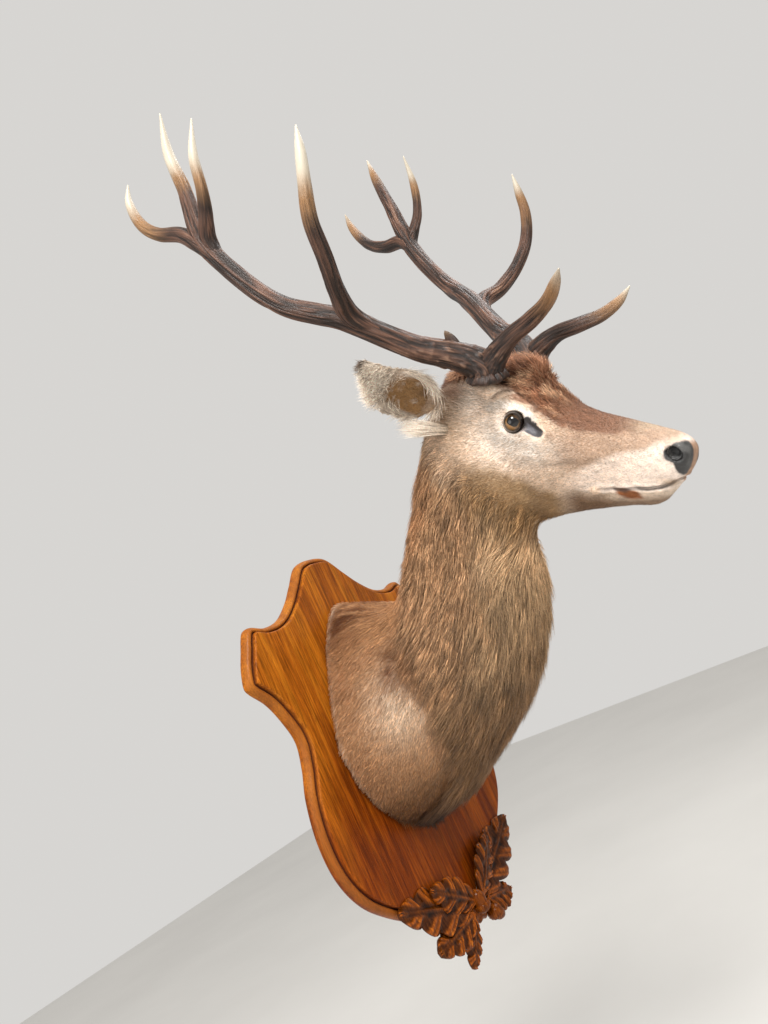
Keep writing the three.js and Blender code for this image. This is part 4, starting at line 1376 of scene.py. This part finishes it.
def tube(centres, radii, around, relief):
    """A closed skin round a bent line, with the relief, the turn and the length so far at each point.

    Relief gets angle, length so far and radius, and gives millimetres."""
    runs = unit(np.gradient(centres, axis=0))
    sides = [unit(np.cross(runs[0], TUBE_START))]
    for run in runs[1:]:
        sides.append(unit(sides[-1] - run * (sides[-1] @ run)))
    sides = np.array(sides)
    others = np.cross(runs, sides)
    length = running_length(centres)
    turn = np.arange(around) * math.tau / around
    angle = np.tile(turn, len(centres))
    so_far, reach = np.repeat(length, around), np.repeat(radii, around)
    raised = relief(angle, so_far, reach)
    cos, sin = np.cos(turn)[:, None], np.sin(turn)[:, None]
    spokes = (sides[:, None] * cos + others[:, None] * sin).reshape(-1, 3)
    points = np.repeat(centres, around, axis=0) + spokes * (reach + raised)[:, None]
    points = np.vstack((points, centres[0], centres[-1] + runs[-1] * radii[-1]))
    ring = np.arange(around)
    last = (len(centres) - 1) * around
    caps = (fan_faces(ring, len(points) - 2)[:, ::-1], fan_faces(last + ring, len(points) - 1))
    details = np.column_stack((raised, angle, so_far))
    details = np.vstack((details, (0, 0, 0), (0, 0, length[-1])))
    return points, np.vstack((ring_faces(len(centres), around), *caps)), details


def round_beam(angle, reach, so_far):
    return np.column_stack((np.cos(angle) * reach, np.sin(angle) * reach, so_far))


def antler_relief(seed, whole, pearly, smooth):
    """Ridges and grooves along the beam, pearls near its foot, and smooth tips."""

    def relief(angle, so_far, radius):
        rough = ramp(whole - so_far, smooth, smooth + 70)
        ring = round_beam(angle, 0.5 * radius, so_far / 46.0 + seed * 9.0)
        ridges = noise(ring, 1.0, seed)
        gutters = bell(noise(ring * (0.42, 0.42, 0.4), 1.0, seed + 60), 0.16)
        lumps = noise(ring * (0.3, 0.3, 1.2), 1.0, seed + 80)
        push = (1.0 * ridges - 1.1 * gutters + 0.9 * lumps) * rough * np.clip(radius / 14.0, 0.2, 1.15)
        pearls = np.clip(noise(round_beam(angle, radius, so_far), 5.2, seed + 30) - 0.25, 0, 1)
        return push + 3.4 * pearls * ramp(so_far, pearly, 0.3 * pearly) * rough

    return relief


def even_line(rows, step):
    """A spline through the rows with points an equal step apart, and its length."""
    line = spline(rows, 40)
    so_far = running_length(line[:, :3])
    spots = np.linspace(0, so_far[-1], max(6, int(so_far[-1] / step)))
    return np.column_stack([np.interp(spots, so_far, column) for column in line.T]), so_far[-1]


def burr(rows, seed):
    """The coronet: a thin knobbly ring round the foot of the beam."""
    axis = unit(np.array(BURR_LEAN) * (math.copysign(1.0, rows[0][0]), 1.0, 1.0))
    profile = spline([(height, 0, 0, share) for height, share in BURR_PROFILE], 5)
    centres = np.array(rows[0][:3]) + profile[:, :1] * axis

    def knobs(angle, so_far, radius):
        spots = round_beam(angle, 30, so_far * 0.3)
        return ramp(so_far, 34, 18) * (3.0 * noise(spots, 4.6, seed) + 1.3 * noise(spots, 9.0, seed + 1))

    return tube(centres, profile[:, 3] * BURR_RADIUS, BURR_AROUND, knobs)


ANTLER_BLACK = linear(40, 28, 22)
ANTLER_BROWN = linear(102, 70, 54)
ANTLER_RIDGE = linear(164, 128, 104)
ANTLER_GOLD = linear(158, 118, 78)
ANTLER_IVORY = linear(196, 186, 168)
PEARL_GREY = linear(150, 138, 124)


def antler_colour(points, details, to_tip, ivory, gold):
    """Black in the grooves, brown on the ridges, golden and then ivory where the tips are rubbed."""
    raised = details[:, 0]
    wide = noise(points, 34.0, 71)
    fine = noise(points, 5.0, 72)
    golden = to_tip + 16 * wide - 9 * np.clip(raised, -2, 2) + 4 * fine
    rubbed = to_tip + 12 * wide - 9 * np.clip(raised, -1.5, 1.5) + 3 * fine
    rubbed = ramp(rubbed, ivory + 26, ivory - 20)
    layers = [
        (ANTLER_BROWN, ramp(raised + 0.5 * wide, -1.1, 0.9)),
        (ANTLER_RIDGE, 0.6 * ramp(raised + 0.7 * wide + 0.3 * fine, 0.5, 1.9)),
        (ANTLER_GOLD, 0.8 * ramp(golden, ivory + gold, ivory + 0.25 * gold)),
        (ANTLER_IVORY * (0.95 + 0.05 * fine)[:, None], rubbed),
    ]
    return layered(ANTLER_BLACK, layers), rubbed


def build_antler(name, branches, tips, nodes, seed, paint):
    points, faces, details = burr(branches["beam"], seed)
    knob = ramp(details[:, 0] + 2.0 * noise(points, 2.4, seed + 3), 2.2, 3.4) * ramp(details[:, 2], 14, 8)
    dark = 0.7 * mix(ANTLER_BLACK, ANTLER_BROWN * 0.6, ramp(details[:, 0], -1.5, 2.5))
    parts = [(points, faces)]
    tints = [mix(dark, PEARL_GREY, 0.55 * knob)]
    lays = [details]
    worn = [np.zeros(len(points))]
    for index, (kind, rows) in enumerate(branches.items()):
        line, length = even_line(rows, RING_STEP)
        ivory, gold = tips.get(kind, NO_IVORY)
        around, pearly = BRANCH_DETAIL.get(kind, (72, 20.0))
        relief = antler_relief(seed + index, length, pearly, max(ivory, 50) * 0.7)
        points, faces, details = tube(line[:, :3], line[:, 3], around, relief)
        colour, rubbed = antler_colour(points, details, length - details[:, 2], ivory, gold)
        if kind in ("beam", "brow"):
            colour = colour * mix(0.5, 1.0, ramp(details[:, 2], 10, 170))[:, None]
        if kind == "stub":
            colour = colour * mix(0.5, 1.0, rubbed)[:, None]
        parts.append((points, faces))
        tints.append(colour)
        lays.append(details + (0.0, 0.0, 900.0 * index))
        worn.append(rubbed)
    points, faces = join_parts(parts)
    antler = mesh_object(name, from_head(points), faces)
    _, angle, so_far = np.vstack(lays).T
    point_colours(antler, "tint", np.vstack(tints))
    point_colours(antler, "lay", round_beam(angle, 0.5, so_far / 6000.0) + (0.5, 0.5, 0.0))
    point_colours(antler, "worn", np.concatenate(worn))
    antler.data.materials.append(paint)
    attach(antler, "root")
    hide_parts(*nodes)


def antler_paint():
    """Bone with fine grooves along it: the turn and the length along the beam steer them."""
    paint = Paint("antler", Specular_IOR_Level=0.4)
    lay = {"Vector": paint.attribute("lay"), "Scale": (58.0, 58.0, 200.0), "Location": (-29.0, -29.0, 0.0)}
    grooves = paint.noise(paint.add("Mapping", lay).outputs[0], 1.0, 3.0, 0.6)
    grain = paint.noise(paint.place(), 700.0, 3.0)
    worn = paint.attribute("worn", "Fac")
    tone = paint.blend(worn, paint.steps(grooves, (0.34, 0.4), (0.5, 1.0), (0.66, 1.4)), 1.0)
    paint.use(Base_Color=paint.times(paint.attribute("tint"), tone))
    paint.use(Roughness=paint.steps(grain, (0.3, 0.34), (0.7, 0.5)))
    paint.bump(paint.blend(worn, grooves, 0.5), 0.0012, 0.9)
    return paint.material


# ---------------------------------------------------------------- board

# Half of the board's outline, from top to bottom: (out from the middle, up) in millimetres.
BOARD_HALF = [(0, 366), (39, 360), (77, 325), (106, 298), (147, 272), (192, 266), (224, 274), (235, 271)]
BOARD_HALF += [(256, 238), (273, 207), (281, 179), (276, 169), (251, 142), (232, 103), (223, 66), (234, 24)]
BOARD_HALF += [(255, -24), (269, -92), (264, -157), (239, -209), (192, -253), (126, -296), (58, -330)]
BOARD_HALF += [(0, -350)]
# The moulding from the back to the face: (in from the outline, out from the wall, share of the roll's
# painted highlight, groove).
MOULDING = [
    (5.0, 0.0, 0, 0), (2.2, 0.8, 0, 0), (0.6, 3.0, 0, 0), (0.0, 7.0, 0, 0), (0.1, 11.0, 0.6, 0),
    (0.9, 14.6, 1, 0), (2.5, 18.0, 1, 0), (4.8, 20.4, 1, 0), (7.4, 21.3, 1, 0), (9.6, 20.6, 1, 0),
    (11.0, 18.9, 0.3, 0.6), (11.7, 17.6, 0, 1), (12.4, 17.5, 0, 1), (12.9, 18.8, 0, 1),
    (13.0, 23.0, 0, 0.3), (13.2, 26.6, 0, 0), (14.2, 28.1, 0, 0), (16.2, 28.5, 0, 0), (19.0, 28.5, 0, 0),
]


def board_outline():
    right = [(x, 0.0, z) for x, z in BOARD_HALF]
    left = [(-x, 0.0, z) for x, z in BOARD_HALF[-2:0:-1]]
    return spline(right + left, 11, closed=True)


def inset_ring(outline, inward, inset):
    """The outline moved inwards, with the loops that it makes at tight corners cut off."""
    ring = outline + inward * inset
    run = np.roll(outline, -1, axis=0) - outline
    offset = ring[:, None] - outline
    t = np.clip((offset * run).sum(axis=2) / (run**2).sum(axis=1), 0, 1)
    gap = np.linalg.norm(offset - t[..., None] * run, axis=2).min(axis=1)
    good = np.flatnonzero(gap > inset - 0.05)
    index = np.arange(len(ring))
    return np.column_stack([np.interp(index, good, ring[good, k], period=len(ring)) for k in range(3)])


def build_board(paint):
    outline = board_outline()
    run = unit(np.roll(outline, -1, axis=0) - np.roll(outline, 1, axis=0))
    inward = np.column_stack((run[:, 2], np.zeros(len(run)), -run[:, 0]))
    count = len(outline)
    rings, marks = [], []
    for inset, height, roll, groove in MOULDING:
        rings.append(inset_ring(outline, inward, inset) - np.array((0.0, height, 0.0)))
        marks.append(np.tile((roll, groove, 0.0), (count, 1)))
    faces = [ring_faces(len(rings), count)]
    index = np.arange(count)
    edges = np.column_stack((index, np.roll(index, -1))).tolist()
    for ring in (0, len(rings) - 1):
        flat = [Vector((x, z)) for x, _, z in rings[ring]]
        filled = delaunay_2d_cdt(flat, edges, [index.tolist()], 1, 1e-6)
        sources = np.array([origin[0] for origin in filled[3]])
        faces.append(sources[np.array(filled[2])] + ring * count)
    board = mesh_object("board_oak", np.vstack(rings) * MM, np.vstack(faces))
    shape = bmesh.new()
    shape.from_mesh(board.data)
    bmesh.ops.recalc_face_normals(shape, faces=shape.faces)
    for face in shape.faces:
        corners = [v.index for v in face.verts]
        face.smooth = max(corners) - min(corners) >= count
    shape.to_mesh(board.data)
    shape.free()
    point_colours(board, "moulding", np.vstack(marks))
    board.data.materials.append(paint)
    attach(board, "root")
    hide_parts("board")


OAK_LIGHT = linear(180, 108, 26)
OAK_MID = linear(152, 82, 16)
OAK_DARK = linear(112, 54, 9)
OAK_PORE = linear(64, 30, 8)
# Darker towards the bottom of the board: partly the oak's own tone, partly painted shade.
LOWER_OAK_TONE_AND_SHADE = np.array((0.62, 0.42, 0.3))
# Painted highlight: a lighter, greyer gold laid on the round roll of the moulding.
ROLL_HIGHLIGHT = linear(150, 92, 42)
GROOVE_DARK = linear(66, 34, 30)


def oak_paint():
    paint = Paint("oiled_oak", Coat_Weight=0.04, Coat_Roughness=0.18, Specular_IOR_Level=0.07)
    bands = paint.noise(paint.place((1.0, 0.4, 0.075), (0, 1.6, 0)), 48.0, 6.0, 0.6, 0.4)
    fibres = paint.noise(paint.place((1.0, 1.0, 0.03)), 430.0, 5.0, 0.7)
    pores = paint.noise(paint.place((1.0, 1.0, 0.045)), 1150.0, 2.0)
    wood = paint.steps(bands, (0.30, OAK_DARK), (0.48, OAK_MID), (0.66, OAK_LIGHT))
    wood = paint.times(wood, paint.steps(fibres, (0.36, 0.48), (0.62, 1.36)))
    open_pores = paint.steps(pores, (0.58, 0.0), (0.66, 1.0))
    wood = paint.blend(paint.maths("MULTIPLY", open_pores, 0.55), wood, OAK_PORE)
    # The board grows darker towards its bottom: partly the oak's own tone, partly painted shade.
    height = paint.add("SeparateXYZ", {"Vector": paint.place()}).outputs["Z"]
    reach = {"Value": height, "From Min": 0.2, "From Max": -0.2, "To Min": 0.0, "To Max": 1.0}
    lower = paint.add("MapRange", reach, interpolation_type="SMOOTHSTEP")
    wood = paint.blend(lower.outputs[0], wood, paint.times(wood, LOWER_OAK_TONE_AND_SHADE))
    marks = paint.add("SeparateColor", {"Color": paint.attribute("moulding")})
    # Painted highlight on the roll of the moulding.
    wood = paint.blend(paint.maths("MULTIPLY", marks.outputs[0], 0.5), wood, ROLL_HIGHLIGHT)
    wood = paint.blend(paint.maths("MULTIPLY", marks.outputs[1], 0.85), wood, GROOVE_DARK)
    paint.use(Base_Color=wood, Roughness=paint.steps(fibres, (0.3, 0.30), (0.7, 0.44)))
    paint.bump(paint.blend(open_pores, fibres, 0.0), 0.0004, 0.5)
    return paint.material


# ---------------------------------------------------------------- carving

SPRAY_FACE = -28.8
LEAF_LOBES = 4
LEAF_ROWS, LEAF_COLUMNS = 76, 29
# The leaves' undersides are painted darker than their tops: painted shade.
UNDERSIDE_SHADE = 0.4
# Root x, root z, tip x, tip z, half width, lift off the board, tilt about the midrib in degrees.
LEAVES = [
    (-14, -330, -196, -252, 40, 0, 14),
    (-10, -322, -112, -254, 30, 9, -10),
    (-30, -338, -150, -344, 30, 5, 18),
    (14, -330, 196, -250, 40, 0, -14),
    (10, -322, 104, -246, 30, 9, 10),
    (24, -338, 104, -356, 28, 5, -18),
    (-30, -338, -84, -404, 22, 2, 0),
]
BOSS_PLACE = (0, SPRAY_FACE, -338)
BOSS_SIZE = (29, -15, 23)
# The upper part of an acorn's section: share of its radius and share of its length.
ACORN = [(0.95, 0.09), (1.16, 0.2), (1.2, 0.31), (1.12, 0.37), (0.98, 0.385), (0.98, 0.40), (1.0, 0.52)]
ACORN += [(0.93, 0.68), (0.72, 0.82), (0.38, 0.92), (0.12, 0.96)]


def leaf(row, seed):
    """One carved oak leaf: a lobed blade, domed and curled, with a midrib and a vein to each lobe."""
    x0, z0, x1, z1, half, lift, tilt = row
    length = math.hypot(x1 - x0, z1 - z0)
    t, s = np.meshgrid(np.linspace(0, 1, LEAF_ROWS), np.linspace(-1, 1, LEAF_COLUMNS), indexing="ij")
    out = np.abs(s)
    blade = np.sin(math.pi * (0.06 + 0.9 * t**0.85)) ** 0.8
    width = half * blade * (0.74 + 0.36 * np.abs(np.sin(math.pi * LEAF_LOBES * t)) ** 0.6)
    along = t * length + 0.10 * length * out**1.6 * (1 - t) * blade
    phase = LEAF_LOBES * (t - 0.20 * out * (1 - 0.4 * t)) + 0.5
    in_lobe = np.abs((phase % 1.0) - 0.5) * 2
    dome = np.cos(in_lobe * math.pi / 2) ** 0.6 * ramp(out, 0.03, 0.4)
    flute = np.cos(math.tau * 3.0 * phase) * ramp(out, 0.15, 0.5)
    relief = 4.6 * bell(s * width, 3.4) * (1 - 0.5 * t) + 4.2 * dome + 1.1 * flute
    top = 3.2 + 4.4 * (1 - out**2.4) * np.sin(math.pi * np.clip(t, 0.04, 0.96)) ** 0.5 + relief
    spots = np.column_stack((t.ravel() * 6, s.ravel() * 2, np.full(t.size, seed)))
    top += 1.1 * noise(spots, 1.0, seed).reshape(t.shape)
    top *= ramp(out, 1.02, 0.86) * 0.45 + 0.55
    upper = np.stack((along, s * width, top), axis=-1)
    lower = np.stack((along, s * width * 0.985, np.minimum(0.6, top)), axis=-1)
    # The height of the relief steers the carving's painted shade and painted highlight.
    marks = np.concatenate((np.clip(relief / 5.6, 0, 1).ravel(), np.full(t.size, UNDERSIDE_SHADE)))
    points, quads = closed_sheet(upper, lower)
    return set_on_board(points, (x0, z0), (x1, z1), lift, tilt), quads, marks


def closed_sheet(upper, lower):
    """Joins two grids of points along their edges into one closed body."""
    rows, columns = upper.shape[:2]
    points = np.vstack((upper.reshape(-1, 3), lower.reshape(-1, 3)))
    grid = np.arange(rows * columns).reshape(rows, columns)
    a, b, c, d = (grid[:-1, :-1], grid[1:, :-1], grid[1:, 1:], grid[:-1, 1:])
    quads = np.stack((a, b, c, d), axis=-1).reshape(-1, 4)
    under = quads[:, ::-1] + rows * columns
    rim = np.concatenate((grid[:, 0], grid[-1, 1:], grid[-2::-1, -1], grid[0, -2:0:-1]))
    following = np.roll(rim, -1)
    walls = np.column_stack((following, rim, rim + rows * columns, following + rows * columns))
    return points, np.vstack((quads, under, walls))


def set_on_board(points, root, tip, lift, tilt):
    """Lays a leaf on the board's face from its root to its tip. Its upper half of points stays proud."""
    out = np.array((0.0, -1.0, 0.0))
    along = unit(np.array((tip[0] - root[0], 0.0, tip[1] - root[1])))
    across = np.cross(out, along)
    y, z = rotated(points[:, 1], points[:, 2], tilt)
    placed = points[:, :1] * along + y[:, None] * across + z[:, None] * out
    placed += np.array((root[0], SPRAY_FACE - lift, root[1]))
    proud = np.where(np.arange(len(placed)) < len(placed) // 2, 2.0, 0.0)
    placed[:, 1] = np.minimum(placed[:, 1], SPRAY_FACE - proud)
    return placed


def turned(profile, around, lumps):
    """A body turned about the z axis from (radius, height) rows. Lumps get angle and height."""
    profile = np.asarray(profile, float)
    turn = np.arange(around) * math.tau / around
    radius, height = profile[:, :1], np.repeat(profile[:, 1:], around, axis=1)
    radius = radius * lumps(turn, profile[:, 1:])
    points = np.stack((radius * np.cos(turn), radius * np.sin(turn), height), axis=-1).reshape(-1, 3)
    grid = np.arange(len(points)).reshape(len(profile), around)
    following = np.roll(grid, -1, axis=1)
    quads = np.stack((grid[:-1], following[:-1], following[1:], grid[1:]), axis=-1).reshape(-1, 4)
    return points, quads


def acorn(x, y, z, lean, length):
    """An acorn with a scaly cup, lying in the board's plane and leaning from upright."""
    girth = length * 0.3
    rows = [(0.01, 0.0), (girth * 0.55, 0.4)]
    rows += [(girth * radius, length * height) for radius, height in ACORN]
    rows.append((0.05, length))
    rows = spline([(radius, height, 0.0) for radius, height in rows], 5)[:, :2]

    def scales(turn, height):
        rise = height / length
        return 1 + 0.05 * np.sin(turn * 11 + rise * 60) * np.sin(rise * 95) * (rise < 0.36)

    points, quads = turned(rows, 40, scales)
    points[:, 0], points[:, 2] = rotated(points[:, 0], points[:, 2], lean)
    return points + (x, y, z), quads


def build_spray(paint):
    parts, marks = [], []
    for seed, row in enumerate(LEAVES):
        points, quads, relief = leaf(row, seed + 90)
        parts.append((points, quads))
        marks.append(relief)
    parts.append(acorn(-4, SPRAY_FACE - 17, -346, 6, 44))
    parts.append(acorn(14, SPRAY_FACE - 14, -352, -128, 40))
    swing = np.linspace(math.pi / 2, 0, 14)
    dome = np.column_stack((np.maximum(np.sin(swing), 0.01), np.cos(swing)))
    points, quads = turned(dome, 48, lambda a, h: 1 + 0.08 * np.sin(a * 9 + h * 3))
    boss = points[:, [0, 2, 1]] * BOSS_SIZE + BOSS_PLACE
    parts.append((boss, quads[:, ::-1]))
    marks += [np.full(len(part[0]), 0.6) for part in parts[len(marks) :]]
    points, quads = join_parts(parts)
    points += 0.35 * noise_vectors(points, 5.0, 120)
    points[:, 1] = np.minimum(points[:, 1], SPRAY_FACE)
    spray = mesh_object("oak_leaf_carving", points * MM, quads)
    # The relief marks carry the carving's painted shade in the hollows and painted highlight on the ridges.
    point_colours(spray, "relief", np.concatenate(marks))
    spray.data.materials.append(paint)
    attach(spray, "root")
    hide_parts("leaf_spray_left", "leaf_spray_right", "leaf_spray_middle")


def carving_paint():
    paint = Paint("carved_oak", Coat_Weight=0.16, Coat_Roughness=0.1, Specular_IOR_Level=0.06)
    grain = paint.noise(paint.place((1, 1, 0.12)), 260.0, 4.0, 0.6, 0.6)
    patchy = paint.noise(paint.place(), 42.0, 3.0)
    browns = ((0.3, linear(62, 27, 4)), (0.55, linear(98, 47, 7)), (0.75, linear(138, 76, 16)))
    # Painted shade and highlight: low relief and the leaves' undersides are darkened, raised ribs and domes
    # brightened.
    cut = paint.steps(paint.attribute("relief", "Fac"), (0.1, 0.1), (0.5, 0.85), (0.95, 2.8))
    wood = paint.times(paint.steps(grain, *browns), cut)
    wood = paint.times(wood, paint.steps(patchy, (0.3, 0.75), (0.7, 1.2)))
    paint.use(Base_Color=wood, Roughness=paint.steps(grain, (0.3, 0.24), (0.7, 0.42)))
    paint.bump(grain, 0.0004, 0.5)
    return paint.material


def build_animal():
    skin, points, faces = build_skin()
    place = Places(points)
    _, angle, _ = neck_frame(points)
    # The skin under long hair is painted darker: painted shade under the coat.
    shade_under_hair = mix(1.0, 0.72, np.maximum(place.neck, place.crown))[:, None]
    point_colours(skin, "tint", coat_colour(place, angle) * shade_under_hair)
    point_colours(skin, "bare", bare(place))
    skin.data.materials.append(skin_paint())
    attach(skin, "root")
    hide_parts(*FLESH)
    grow_coat(points, faces)


# ---------------------------------------------------------------- the whole mount


def branch_nodes(side):
    kinds = ["lower_beam", "upper_beam", "brow_tine", "trez_tine", "back_tine", "crown_tine"]
    return [f"antler_{side}_{kind}" for kind in kinds]


bpy.context.scene.view_settings.view_transform = "Standard"
make_camera()
make_studio()
build_animal()
glass = eye_paint()
build_eye("glass_eye_left", 1, glass)
build_eye("glass_eye_right", -1, glass)
horn = antler_paint()
right_nodes = branch_nodes("right") + ["antler_right_bez_stub"]
build_antler("antler_right", ANTLER_RIGHT, IVORY_RIGHT, right_nodes, 200, horn)
build_antler("antler_left", ANTLER_LEFT, IVORY_LEFT, branch_nodes("left"), 300, horn)
build_board(oak_paint())
build_spray(carving_paint())
